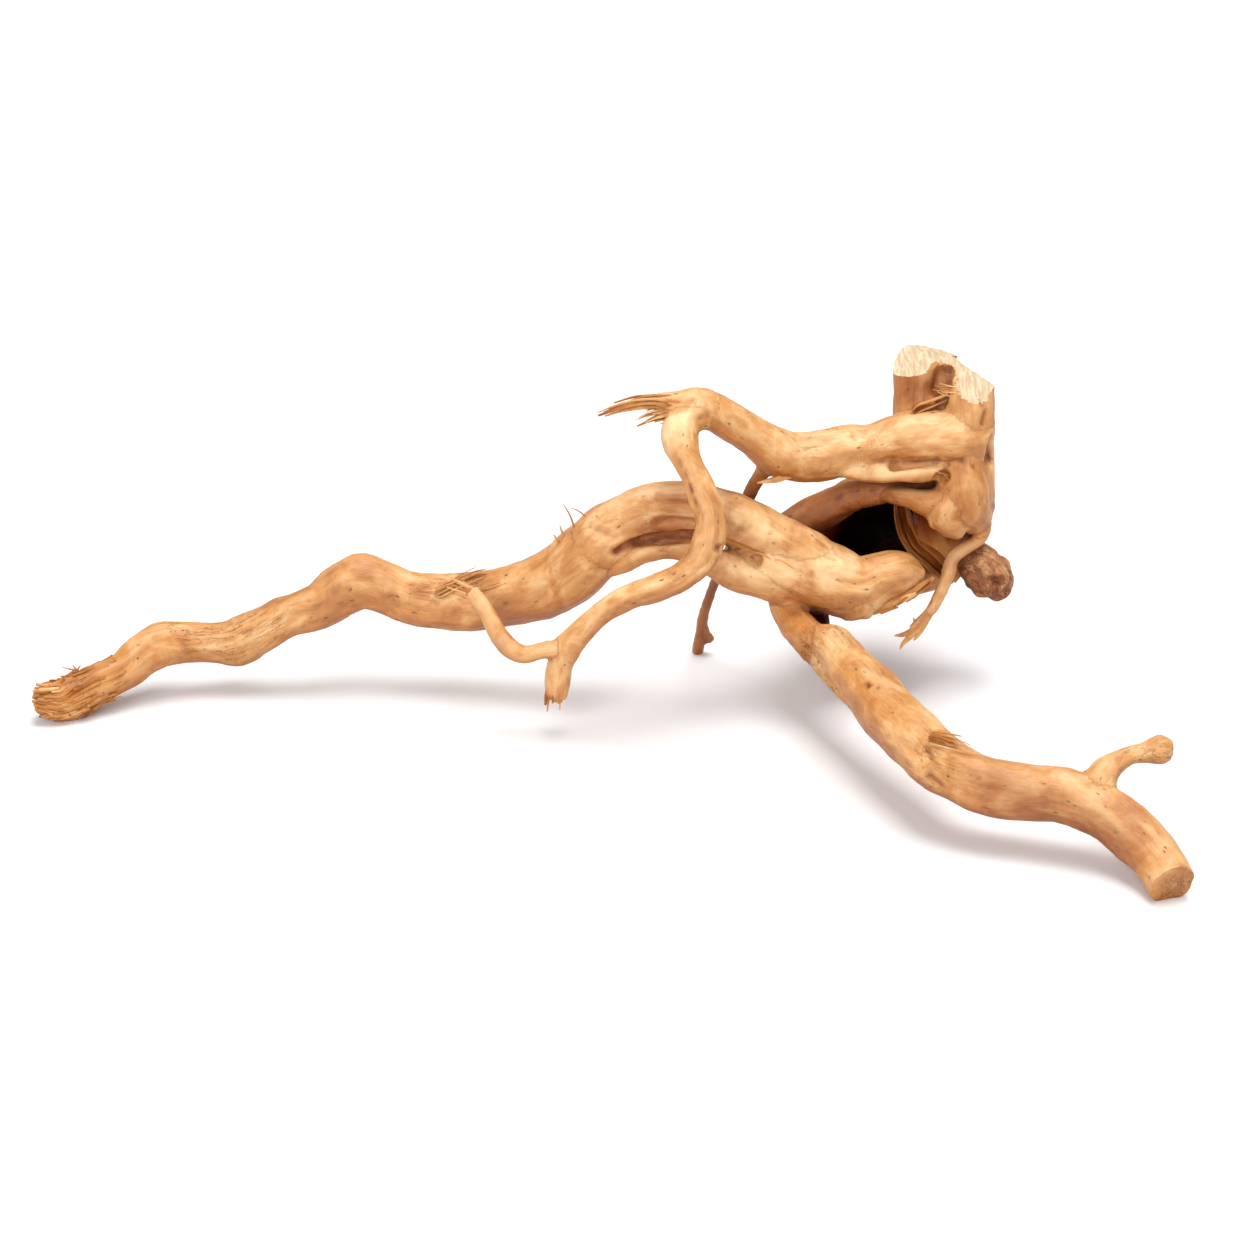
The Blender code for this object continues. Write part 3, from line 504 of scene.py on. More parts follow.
class Paint:
    """One material under construction."""

    def __init__(self, name, sheen=0.5):
        self.material = bpy.data.materials.new(name)
        self.material.use_nodes = True
        self.tree = self.material.node_tree
        self.surface = self.tree.nodes["Principled BSDF"]
        self.surface.inputs["Specular IOR Level"].default_value = sheen

    def node(self, kind, settings=None, sockets=None, output=0):
        """Adds a node: settings first, then values or links by place or name. Gives one output."""
        made = self.tree.nodes.new(kind)
        for name, value in (settings or {}).items():
            if name == "stops":
                self.fill_ramp(made.color_ramp, value)
            else:
                setattr(made, name, value)
        known = sockets or {}
        for place, value in known.items() if isinstance(known, dict) else enumerate(known):
            self.feed(made.inputs[place], value)
        return Value(self, made.outputs[output])

    def fill_ramp(self, ramp, stops):
        for _ in stops[2:]:
            ramp.elements.new(1)
        for element, (place, colour) in zip(ramp.elements, stops):
            element.position = place
            element.color = (*colour, 1)

    def feed(self, socket, value):
        if isinstance(value, Value):
            self.tree.links.new(value.socket, socket)
        elif socket.type == "RGBA":
            socket.default_value = (*value, 1)
        else:
            socket.default_value = value

    def stored(self, name, output="Fac"):
        return self.node("ShaderNodeAttribute", {"attribute_name": name}, output=output)

    def scaled(self, vector, scale):
        """The vector with each part multiplied."""
        return self.node("ShaderNodeVectorMath", {"operation": "MULTIPLY"}, [vector, scale])

    def clouds(self, vector, scale=1.0, detail=3.0, roughness=0.55, warp=0.0):
        return self.node(
            "ShaderNodeTexNoise", None,
            {"Vector": vector, "Scale": scale, "Detail": detail, "Roughness": roughness,
             "Distortion": warp})

    def steps(self, value, low, high, to_low=0.0, to_high=1.0):
        """value from low to high becomes to_low to to_high, smoothly, and stays inside."""
        return self.node(
            "ShaderNodeMapRange", {"interpolation_type": "SMOOTHSTEP"},
            {"Value": value, "From Min": low, "From Max": high, "To Min": to_low,
             "To Max": to_high})

    def mix(self, share, first, second, way="MIX"):
        """A colour between two: first where share is 0."""
        return self.node(
            "ShaderNodeMix", {"data_type": "RGBA", "blend_type": way},
            {"Factor": share, 6: first, 7: second}, output=2)

    def tint(self, share, base, colour):
        """base, multiplied by colour where share is 1."""
        return self.mix(share, base, self.mix(1.0, base, colour, "MULTIPLY"))

    def drawn(self, vector, along, across, detail, roughness, warp):
        """Clouds that are drawn out along the first part of the vector, or across it."""
        return self.clouds(
            self.scaled(vector, (along, across, across)), 1.0, detail, roughness, warp)

    def ridge(self, value, low, high):
        """1 where value is half way, falling to 0 as it departs from there by low to high."""
        return 1 - self.steps((value - 0.5).math("ABSOLUTE"), low, high)

    def ramp(self, value, stops):
        return self.node("ShaderNodeValToRGB", {"stops": stops}, [value])

    def finish(self, colour, roughness, height, depth, strength=1.0):
        """Links the colour, the roughness and a bump of height, depth metres deep."""
        self.feed(self.surface.inputs["Base Color"], colour)
        self.feed(self.surface.inputs["Roughness"], roughness)
        bump = self.node(
            "ShaderNodeBump", None, {"Strength": strength, "Distance": depth, "Height": height})
        self.feed(self.surface.inputs["Normal"], bump)
        return self.material


def between(first, second, share):
    """The colour that lies share of the way from first to second."""
    return tuple(a * (1 - share) + b * share for a, b in zip(first, second))


def wood_paint(name, colours, sheen, painted_shade_share=1.0):
    """Peeled weathered wood: clouds of cream, honey and amber, grain, specks, cracks and stains, with
    painted shade in hollows, creases, the cave and on undersides, and painted highlights on lit tops.
    """
    paint = Paint(name, sheen)
    grain = paint.stored("grain", "Vector")
    place = paint.node("ShaderNodeTexCoord", output="Object")
    tone, shade, edge, stain, bark = map(paint.stored, ("tone", "shade", "edge", "stain", "bark"))

    clouds = paint.clouds(place, 42.0, 5.0, 0.6, 1.1)
    patchy = clouds * 0.55 + paint.drawn(grain, 30.0, 85.0, 4.0, 0.6, 1.0) * 0.45
    base = paint.ramp(patchy, [
        (0.35, colours.amber), (0.43, between(colours.amber, colours.honey, 0.45)),
        (0.5, colours.honey), (0.57, between(colours.honey, colours.cream, 0.45)),
        (0.67, colours.cream)])

    streaks = paint.drawn(grain, 36.0, 520.0, 3.0, 0.65, 0.5)
    fibres = paint.drawn(grain, 110.0, 2100.0, 2.0, 0.6, 0.2)
    base = paint.tint((1 - paint.steps(streaks, 0.34, 0.66)) * 0.24, base, (0.66, 0.52, 0.4))
    base = paint.mix(paint.steps(fibres, 0.35, 0.7) * 0.16, base, colours.cream)

    across = paint.drawn(grain, 900.0, 90.0, 2.0, 0.5, 0.6)
    scratched = paint.steps(paint.clouds(place, 26.0, 2.0, 0.5), 0.56, 0.7)
    scratches = paint.steps(across, 0.62, 0.72) * scratched
    base = paint.mix(scratches * 0.55, base, colours.cream)

    dots = paint.node(
        "ShaderNodeTexVoronoi", None,
        {"Vector": paint.scaled(grain, (150.0, 420.0, 420.0)), "Scale": 1.0, "Randomness": 1.0})
    rare = paint.steps(paint.clouds(grain, 150.0, 2.0, 0.5), 0.56, 0.66)
    specks = (1 - paint.steps(dots, 0.08, 0.26)) * rare
    base = paint.mix(specks * 0.8, base, colours.umber_and_shade)

    veins = paint.drawn(grain, 26.0, 190.0, 5.0, 0.7, 1.4)
    cracked = paint.steps(paint.clouds(place, 19.0, 2.0, 0.5), 0.54, 0.66)
    cracks = paint.ridge(veins, 0.002, 0.014) * cracked
    base = paint.mix(cracks * 0.13, base, colours.umber_and_shade)

    crust = paint.drawn(grain, 90.0, 210.0, 5.0, 0.7, 1.6)
    seams = paint.ridge(crust, 0.0, 0.03)
    crust_colour = paint.ramp(crust, [
        (0.3, between((0, 0, 0), colours.bark, 0.3)), (0.5, colours.bark),
        (0.7, (0.56, 0.27, 0.14))])
    base = paint.mix(bark, base, paint.mix(seams * 0.6, crust_colour, colours.umber_and_shade))

    # Stains darken the wood toward warm brown and then toward dark brown; where they stand for shade,
    # this is painted shade
    base = paint.tint((stain * 1.5).clamped(), base, (0.5, 0.28, 0.13))
    base = paint.mix(paint.steps(stain, 0.5, 1.0) * 0.9, base, colours.umber_and_shade)
    # Negative marks lighten the wood toward cream: bleached wood, and painted highlights on the lit
    # tops
    bleach_and_highlight = (0 - stain).math("MAXIMUM", 0.0) * paint.steps(clouds, 0.3, 0.6)
    base = paint.mix(bleach_and_highlight.clamped(), base, colours.cream)
    # Painted shade: the wood is tinted dark where the rays find it closed to the light
    hidden = paint.steps(shade, 0.1, 0.75, 1.0, 0.0) * painted_shade_share
    base = paint.tint(hidden * 0.85, base, (0.2, 0.09, 0.045))
    # Worn edges that stand out are paler, and creases that sink in are darker as painted shade
    base = paint.mix(paint.steps(edge, 0.05, 0.45) * 0.34, base, colours.cream)
    base = paint.tint(paint.steps(edge, -0.4, -0.06, 0.5, 0.0), base, (0.5, 0.3, 0.18))
    # The tone, which carries the painted shade of undersides and the cave, darkens and reddens the wood
    redder = paint.node(
        "ShaderNodeCombineColor", None,
        [tone, tone.math("POWER", 1.7), tone.math("POWER", 2.8)])
    base = paint.mix(1.0, base, redder, "MULTIPLY")

    roughness = 0.3 + 0.14 * streaks + 0.14 * clouds + bark * 0.3 + (1 - shade) * 0.4
    height = (streaks * 0.5 + fibres * 0.22 - specks * 0.9 - cracks * 0.5 - scratches * 0.2
              + bark * (crust * 1.6 - seams * 1.3))
    return paint.finish(base, roughness.clamped(), height, 0.0009, 0.75)


def sawn_paint(colours):
    """Pale cut wood with fanned saw lines and a grey heart."""
    paint = Paint("sawn_wood")
    place = paint.node("ShaderNodeTexCoord", output="Object")
    turned = paint.node(
        "ShaderNodeMapping", None,
        {"Vector": place, "Rotation": (0.0, 0.0, math.radians(24)),
         "Scale": (620.0, 70.0, 160.0)})
    fan = paint.clouds(turned, 1.0, 4.0, 0.6, 0.7)
    clouds = paint.clouds(place, 120.0, 4.0, 0.6, 0.4)
    rings = paint.node(
        "ShaderNodeTexWave", {"wave_type": "RINGS", "rings_direction": "Z"},
        {"Vector": paint.node("ShaderNodeMapping", None,
                              {"Vector": place, "Location": (-0.165, -0.112, 0)}),
         "Scale": 130.0, "Distortion": 3.0, "Detail": 2.0, "Detail Scale": 1.5})
    red, green, blue = (0.62 * c for c in colours.sawn)
    base = paint.mix(
        paint.steps(fan, 0.35, 0.65) * 0.8, (red, green * 0.9, blue * 0.8), colours.sawn)
    base = paint.mix(paint.steps(clouds, 0.55, 0.75) * 0.35, base, (0.94, 0.84, 0.68))
    base = paint.mix(rings * 0.12, base, colours.honey)
    heart = paint.steps(paint.drawn(place, 150.0, 60.0, 2.0, 0.5, 0.6), 0.66, 0.74)
    base = paint.mix(heart * 0.55, base, (0.36, 0.27, 0.2))
    return paint.finish(base, 0.62 + 0.2 * fan, fan + clouds * 0.4, 0.001, 0.8)


def floor_paint(colour):
    """A pale matte floor, hardly uneven."""
    paint = Paint("pale_floor")
    place = paint.node("ShaderNodeTexCoord", output="Object")
    clouds = paint.clouds(place, 3.0, 2.0, 0.5)
    base = paint.mix(clouds * 0.5, colour, tuple(min(1, c * 1.02) for c in colour))
    return paint.finish(base, 0.7 + 0.1 * clouds, clouds, 0.0002, 0.1)


def lengths(vectors):
    return np.linalg.norm(vectors, axis=-1)


def route(stations, step=RING_STEP):
    """Rows (x, y, z, radius) along a Catmull-Rom curve through the stations, about step apart."""
    known = np.array(stations, float)
    known = np.vstack([2 * known[0] - known[1], known, 2 * known[-1] - known[-2]])
    rows = []
    for before, start, end, after in zip(known, known[1:], known[2:], known[3:]):
        count = max(1, round(lengths((end - start)[:3]) / step))
        for t in np.arange(count) / count:
            rows.append(
                0.5 * (2 * start + (end - before) * t
                       + (2 * before - 5 * start + 4 * end - after) * t ** 2
                       + (3 * start - before - 3 * end + after) * t ** 3)
            )
    rows.append(known[-2])
    return np.array(rows)


def frames(points):
    """Along, side and up at each point of a route, turned as little as possible."""
    along = np.gradient(points, axis=0)
    along /= lengths(along)[:, None]
    side = Vector(along[0]).orthogonal().normalized()
    three = []
    for direction in map(Vector, along):
        side = (side - direction * side.dot(direction)).normalized()
        three.append((direction, side.copy(), direction.cross(side)))
    return three


def ridged(out, distance, seed):
    """The share by which the wood swells in direction out, as ridges that run along the limb."""
    broad = noise.noise(out * 1.6 + Vector((distance / 55, seed, 0)))
    fine = noise.noise(out * 4 + Vector((distance / 30, 0, seed)))
    return 1 + RIDGE * broad + FINE_RIDGE * fine


def distances(points):
    """How far along the route each of its points is."""
    return np.concatenate([[0], np.cumsum(lengths(np.diff(points, axis=0)))])


class Shape:
    """Corners and faces of a mesh in the making, with the grain and tone of each corner."""

    def __init__(self):
        self.corners = []
        self.faces = []
        self.grain = []
        self.tone = []

    def tube(self, rows, sides=6, flat=1.0, lean=None, seed=None, tone=1.0, jag=0.0):
        """One closed sweep along rows of (x, y, z, radius); jag makes its radius uneven."""
        rows = np.asarray(rows, float)
        points = rows[:, :3]
        far = distances(points)
        tones = np.broadcast_to(tone, len(rows))
        first = len(self.corners)
        shift = first * 0.37
        for number, (along, side, up) in enumerate(frames(points)):
            centre = Vector(points[number])
            if lean:
                side = (Vector(lean) - along * along.dot(Vector(lean))).normalized()
                up = along.cross(side)
            for turn in range(sides):
                angle = 2 * math.pi * turn / sides
                out = side * math.cos(angle) + up * (math.sin(angle) * flat)
                swell = 1 if seed is None else ridged(out, far[number], seed)
                if jag:
                    swell += jag * noise.noise(centre * 0.9 + out * 3)
                reach = rows[number][3] * swell
                self.corners.append(centre + out * reach)
                self.grain.append((far[number] + shift, out.dot(side) * reach + shift,
                                   out.dot(up) * reach))
                self.tone.append(float(tones[number]))
        for ring in range(len(points) - 1):
            low = first + ring * sides
            for turn in range(sides):
                after = (turn + 1) % sides
                self.faces.append((low + turn, low + after, low + sides + after,
                                   low + sides + turn))
        self.faces.append(tuple(range(first + sides - 1, first - 1, -1)))
        last = first + (len(points) - 1) * sides
        self.faces.append(tuple(range(last, last + sides)))

    def made(self, name):
        """The finished object, in the model's frame."""
        mesh = bpy.data.meshes.new(name)
        mesh.from_pydata([tuple((c - ORIGIN) * MM) for c in self.corners], [], self.faces)
        made = bpy.data.objects.new(name, mesh)
        bpy.context.scene.collection.objects.link(made)
        return made


def apply_modifiers(made):
    """Keeps the shape that the modifiers give, and takes them off."""
    bpy.context.view_layer.update()
    evaluated = made.evaluated_get(bpy.context.evaluated_depsgraph_get())
    made.data = bpy.data.meshes.new_from_object(evaluated)
    made.modifiers.clear()


def modify(made, kind, **settings):
    """Adds a modifier with its settings."""
    added = made.modifiers.new(kind.lower(), kind)
    for name, value in settings.items():
        setattr(added, name, value)


def read(made, name, of="vertices"):
    """The vector called name of every corner or face, one a row."""
    items = getattr(made.data, of)
    values = np.empty(len(items) * 3, np.float32)
    items.foreach_get(name, values)
    return values.reshape(-1, 3).astype(float)


def positions(made, name="co", of="vertices"):
    """Places in millimetres from the stations' own origin."""
    return read(made, name, of) / MM + np.array(ORIGIN)


def move_to(made, points):
    inside = (points - np.array(ORIGIN)) * MM
    made.data.vertices.foreach_set("co", inside.astype(np.float32).ravel())
    made.data.update()


def store(made, **layers):
    """Keeps numbers or vectors at every corner under the names that the paint reads."""
    for name, values in layers.items():
        values = np.asarray(values, np.float32)
        kind, part = ("FLOAT", "value") if values.ndim == 1 else ("FLOAT_VECTOR", "vector")
        layer = made.data.attributes.new(name, kind, "POINT")
        layer.data.foreach_set(part, values.ravel())


def fade(share):
    """1 where share is 0, falling smoothly to 0 where it is 1 or more."""
    share = np.clip(share, 0, 1)
    return 1 - share * share * (3 - 2 * share)


def away_from(points, start, end=None):
    """Distance of each point from the line between start and end, or from start alone."""
    start, end = np.array(start, float), np.array(end or start, float)
    span = end - start
    share = np.clip((points - start) @ span / (span @ span or 1), 0, 1)
    return lengths(points - start - share[:, None] * span)


def close_to(points, reach, start, end=None):
    """1 on the line between start and end, falling smoothly to 0 at reach from it."""
    return fade(away_from(points, start, end) / reach)


def spread(made, values, times):
    """Evens values out over neighbouring corners."""
    edges = np.empty(len(made.data.edges) * 2, np.int32)
    made.data.edges.foreach_get("vertices", edges)
    first, second = edges.reshape(-1, 2).T
    count = np.bincount(np.concatenate([first, second]), minlength=len(values)).clip(1)
    for _ in range(times):
        total = np.bincount(first, values[second], len(values))
        total += np.bincount(second, values[first], len(values))
        values = 0.5 * values + 0.5 * total / count
    return values


def joined_limbs(detail):
    """Every limb in one skin."""
    shape = Shape()
    for seed, stations in enumerate(LIMBS.values()):
        shape.tube(route(stations), sides=22, seed=seed)
    wood = shape.made("root_wood")
    modify(wood, "REMESH", mode="VOXEL", voxel_size=detail)
    apply_modifiers(wood)
    return wood


def soften(wood, detail):
    """Evens the skin, and fills out the crotches so that one limb flows into the next."""
    points = positions(wood)
    weight = np.zeros(len(points))
    for *place, reach in CROTCHES:
        weight = np.maximum(weight, close_to(points, reach, place))
    group = wood.vertex_groups.new(name="crotch")
    for index in np.flatnonzero(weight > 0.01):
        group.add([int(index)], float(weight[index]), "REPLACE")
    finer = (EVENED_DETAIL / detail) ** 2
    for times, limit in ((3, ""), (24, "crotch")):
        modify(wood, "SMOOTH", factor=0.5, iterations=round(times * finer), vertex_group=limit)
    apply_modifiers(wood)
    wood.vertex_groups.clear()


def raise_knots(wood):
    """Lifts the skin into uneven bumps at the knotty places."""
    points = positions(wood)
    outward = read(wood, "normal")
    for (*place, reach), height, spacing in KNOTTY:
        share = close_to(points, reach, place)
        for index in np.flatnonzero(share > 0.01):
            bump = noise.noise(Vector(points[index]) / spacing) - 0.2
            points[index] += outward[index] * (height * bump * share[index])
    move_to(wood, points)


def press_hollows(wood):
    """Presses every pit and hollow in, along the skin's own normals."""
    points = positions(wood)
    inward = -read(wood, "normal")
    depths = np.zeros(len(points))
    for start, end, reach, depth, *_ in DARK_PITS + HOLLOWS:
        depths = np.maximum(depths, depth * close_to(points, reach, start, end))
    move_to(wood, points + inward * depths[:, None])


def nearest_limb(points):
    """For each point its grain coordinates along the limb it lies on, and that limb's tone."""
    rows, axes, far, tones = [], [], [], []
    for number, (name, stations) in enumerate(LIMBS.items()):
        line = route(stations)
        rows.append(line)
        axes += [[tuple(axis) for axis in three] for three in frames(line[:, :3])]
        far.append(distances(line[:, :3]) + GRAIN_SHIFT * number)
        tones += [LIMB_TONES.get(name, 1.0)] * len(line)
    rows, axes, far, tones = np.vstack(rows), np.array(axes), np.concatenate(far), np.array(tones)
    grain = np.empty((len(points), 3))
    tone = np.empty(len(points))
    for start in range(0, len(points), BATCH):
        some = slice(start, start + BATCH)
        gap = lengths(points[some, None] - rows[None, :, :3]) - rows[:, 3]
        best = gap.argmin(axis=1)
        grain[some] = np.einsum("ijk,ik->ij", axes[best], points[some] - rows[best, :3])
        grain[some, 0] += far[best]
        near = np.exp(-(gap - gap.min(axis=1)[:, None]) / TONE_BLEND)
        tone[some] = (near * tones).sum(axis=1) / near.sum(axis=1)
    return grain, tone


def carve_grain(wood, relief):
    """Low ridges and lumps that follow the grain, and small worn pits."""
    points = positions(wood)
    outward = read(wood, "normal")
    grain, _ = nearest_limb(points)
    height = np.empty(len(points))
    for index, (s, a, b) in enumerate(grain):
        broad = noise.noise(Vector((s / 26, a / 5, b / 5)))
        fine = noise.noise(Vector((s / 15, a / 2.4, b / 2.4)))
        place = Vector(points[index])
        lump = noise.noise(place / 12) * 1.3 + noise.noise(place / 5.5) * 0.5
        pit = noise.noise(Vector((s / 5, a / 2.6, b / 2.6)) + Vector((9, 9, 9)))
        height[index] = broad * 0.9 + fine * 0.6 + lump - max(0, pit - 0.42) * 5
    move_to(wood, points + outward * (height * relief / MM)[:, None])


def cut_away(wood, point, normal, size, rough):
    """Takes off what lies above a torn, slightly ridged face through point."""
    steps = CUT_STEPS if rough else 1
    width, depth, rise = size
    turn = Vector(normal).normalized().to_track_quat("Z", "Y").to_matrix()
    shape = Shape()
    for row in range(steps + 1):
        for column in range(steps + 1):
            x = (column / steps - 0.5) * width
            y = (row / steps - 0.5) * depth
            fan = noise.noise(Vector((x / 1.7 + y / 6, y / 16, 3.1)))
            broad = noise.noise(Vector((x / 9, y / 9, 7.7)))
            z = rough / MM * (fan * 0.8 + broad)
            shape.corners.append(Vector(point) + turn @ Vector((x, y, z)))
    line = steps + 1
    for row in range(steps):
        for column in range(steps):
            low = row * line + column
            shape.faces.append((low, low + line, low + line + 1, low + 1))
    base = line * line
    rim = [*range(line), *(line * r + steps for r in range(1, line)),
           *(line * steps + c for c in range(steps - 1, -1, -1)),
           *(line * r for r in range(steps - 1, 0, -1))]
    lift = turn @ Vector((0, 0, rise))
    shape.corners += [shape.corners[corner] + lift for corner in rim]
    top = range(base, base + len(rim))
    for place, corner in enumerate(rim):
        after = (place + 1) % len(rim)
        shape.faces.append((corner, rim[after], top[after], top[place]))
    shape.faces.append(tuple(top))
    cutter = shape.made("cutter")
    modify(wood, "BOOLEAN", operation="DIFFERENCE", solver="MANIFOLD", object=cutter)
    apply_modifiers(wood)
    bpy.data.objects.remove(cutter)


def share_out_faces(wood, tone):
    """Gives the faces on a cut the sawn wood, and those inside the cave the dark wood with hardly any
    sheen that holds the cave's painted shade.
    """
    faces = wood.data.polygons
    centres = positions(wood, "center", "polygons")
    facing = read(wood, "normal", "polygons")
    chosen = np.zeros(len(faces), np.int32)
    for point, normal, _ in SAWN[:-1]:
        normal = np.array(Vector(normal).normalized())
        off = centres - point
        on_cut = (np.abs(off @ normal) < ON_CUT) & (facing @ normal > 0.7)
        chosen[on_cut & (lengths(off) < CUT_REACH)] = 1
    chosen[away_from(centres, *CREASE) < CREASE_REACH] = 0
    first = np.array([face.vertices[0] for face in faces])
    chosen[(chosen == 0) & (tone[first] < CAVE_TONE)] = 2
    faces.foreach_set("material_index", chosen)


def shade_of(made):
    """How open each corner is to the light, from 0 to 1, by rays from its own skin."""
    points = read(made, "co")
    tree = BVHTree.FromPolygons(
        points.tolist(), [tuple(face.vertices) for face in made.data.polygons])
    draw = random.Random(5)
    rays = []
    while len(rays) < RAYS:
        ray = Vector([draw.uniform(-1, 1) for _ in range(3)])
        if 0.2 < ray.length < 1:
            rays.append(ray.normalized())
    light = np.zeros(len(points))
    for index, (point, out) in enumerate(zip(map(Vector, points), map(Vector, read(made, "normal")))):
        for ray in rays:
            way = (ray + out * RAY_LEAN).normalized()
            hit = tree.ray_cast(point + out * RAY_START, way, RAY_REACH)[3]
            light[index] += 1 if hit is None else hit / RAY_REACH * 0.6
    return spread(made, light / RAYS, 2)


def relief_of(made):
    """How far each corner stands out of its surroundings: for worn edges, and where it sinks in, for
    the painted shade of creases.
    """
    points = read(made, "co")
    smooth = np.stack([spread(made, points[:, axis], 6) for axis in range(3)], axis=1)
    proud = ((points - smooth) * read(made, "normal")).sum(axis=1)
    return np.clip(spread(made, proud / MM, 1), -1, 1)


def dress_wood(wood, colours):
    """Stores the grain, the tone with painted shade on undersides and in the cave, the shade from rays,
    the worn edges with painted shade in creases, the stains with painted shade and highlights, and the
    bark, and gives the wood its finishes.
    """
    points = positions(wood)
    outward = read(wood, "normal")
    grain, tone = nearest_limb(points)
    # The cave's wood stays near black as painted shade, except where its walls face away from the
    # cave's middle
    inward = np.array(CAVE) - points
    facing = (inward * outward).sum(axis=1) / lengths(inward)
    outside = WALL_TONE * fade((facing + 0.2) / 0.35)
    tone = np.where(tone < CAVE_TONE, np.maximum(tone, outside), tone)
    stain = np.zeros(len(points))
    for start, end, *_, reach, dark in DARK_PITS + STAINS_AND_LIGHT:
        mark_here = dark * close_to(points, reach, start, end)
        stain = np.where(np.abs(mark_here) > np.abs(stain), mark_here, stain)
    bark = fade((away_from(points, *BURL) - 9) / 8) * (1 - close_to(points, 6, *BARE))
    # Painted shade on undersides: wood that faces down is made darker
    under = np.clip(0.25 - outward[:, 2], 0, 1)
    store(
        wood, grain=grain * MM, tone=spread(wood, tone, 4) * (1 - 0.4 * under),
        stain=spread(wood, stain, 1), bark=bark, edge=relief_of(wood), shade=shade_of(wood))
    wood.data.materials.clear()
    # The cave's wood has hardly any sheen, so its painted shade stays dark
    for paint in (wood_paint("weathered_wood", colours, 0.5), sawn_paint(colours),
                  wood_paint("cave_wood", colours, 0.03)):
        wood.data.materials.append(paint)
    share_out_faces(wood, tone)
    wood.data.shade_smooth()
    wood.data.set_sharp_from_angle(angle=math.radians(52))


class DRIFTWOOD_OT_wood(bpy.types.Operator):
    """Grow the root's wood as one skin, with its hollows, knots, grain and sawn faces"""

    bl_idname = "driftwood.wood"
    bl_label = "Wood"

    def execute(self, context):
        sizes = context.scene.driftwood_sizes
        detail = sizes.skin_detail
        wood = joined_limbs(detail)
        soften(wood, detail)
        raise_knots(wood)
        press_hollows(wood)
        carve_grain(wood, sizes.grain_relief)
        for cut in SAWN[:-1]:
            cut_away(wood, *cut, sizes.saw_roughness)
        cut_away(wood, *SAWN[-1], TIP_ROUGHNESS)
        cut_away(wood, *GROUND, 0)
        dress_wood(wood, context.scene.driftwood_colours)
        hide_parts("driftwood_root")
        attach(wood, "root")
        return {"FINISHED"}


def dress_fibres(shape, name, colours):
    """Makes torn fibres an object of their own, in the wood's finish, none below the ground."""
    for corner in shape.corners:
        corner.z = max(corner.z, CLEARANCE)
    made = shape.made(name)
    count = len(shape.corners)
    store(
        made, grain=np.array(shape.grain) * MM, tone=shape.tone, stain=np.zeros(count),
        bark=np.zeros(count), edge=np.full(count, 0.12), shade=np.ones(count))
    made.data.materials.append(
        bpy.data.materials.get("torn_wood") or wood_paint("torn_wood", colours, 0.25, 0.35))
    made.data.shade_smooth()
    made.data.set_sharp_from_angle(angle=math.radians(40))
    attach(made, "root")


def add_bundle(shape, stations, count, width, seed, shortest, wobble, flat=(0.45, 1), late=0.0):
    """Strands side by side along stations (x, y, z, spread), each torn off somewhere.

    shortest is the least share of the way that one of them goes, and late is the share of the
    way at which the last of them starts.
    """
    draw = random.Random(seed)
    rows = route(stations, FIBRE_STEP)
    three = frames(rows[:, :3])
    for number in range(count):
        turn = 2 * math.pi * (number + draw.random()) / count
        reach = math.sqrt(draw.uniform(0.05, 1))
        first = round(len(rows) * draw.uniform(0, late))
        length = min(len(rows), max(first + 4, round(len(rows) * draw.uniform(shortest, 1))))
        thick = width * draw.uniform(0.6, 1.3)
        offset = math.cos(turn) * reach, math.sin(turn) * reach
        bend = draw.uniform(-wobble, wobble), draw.uniform(-wobble, wobble)
        phase = draw.uniform(0, 50)
        made = []
        for index in range(first, length):
            share = (index - first) / (length - 1 - first)
            quiver = 0.35 * noise.noise(Vector((index * 0.35, phase, 0)))
            side, up = (
                axis * (place * rows[index][3] + swing * (share * share) + quiver)
                for axis, place, swing in zip(three[index][1:], offset, bend))
            centre = Vector(rows[index][:3]) + (side + up)
            made.append((*centre, thick * (1 - 0.5 * share ** 3)))
        lean = (draw.uniform(-1, 1), draw.uniform(-1, 1), draw.uniform(-1, 1))
        shape.tube(made, 6, draw.uniform(*flat), lean, tone=draw.uniform(0.55, 1.05), jag=0.25)


def half_width(context):
    """Half of a common strand's width, in millimetres."""
    return context.scene.driftwood_sizes.fibre_thickness / 2 / MM


def fray(context, name, shape=None):
    """Makes a piece of its bundles of strands and its single lines."""
    shape = shape or Shape()
    for stations, count, width, *rest in BUNDLES.get(name, ()):
        add_bundle(shape, stations, count, half_width(context) * width, *rest)
    if name in LINES:
        step, sides, tone, jag, lines = LINES[name]
        for flat, stations in lines:
            shape.tube(route(stations, step), sides, flat, tone=tone, jag=jag)
    dress_fibres(shape, name, context.scene.driftwood_colours)


def surface_point(rows, place, turn, lift):
    """A point on a limb's skin, turned from the front (0 degrees) over the top (90)."""
    index = min(int(place), len(rows) - 2)
    share = place - index
    row = rows[index] * (1 - share) + rows[index + 1] * share
    along = Vector(rows[index + 1][:3] - rows[index][:3]).normalized()
    front = Vector((0, -1, 0))
    front = (front - along * along.dot(front)).normalized()
    out = front * math.cos(turn) + front.cross(along) * math.sin(turn)
    return Vector(row[:3]) + out * (row[3] + lift), out


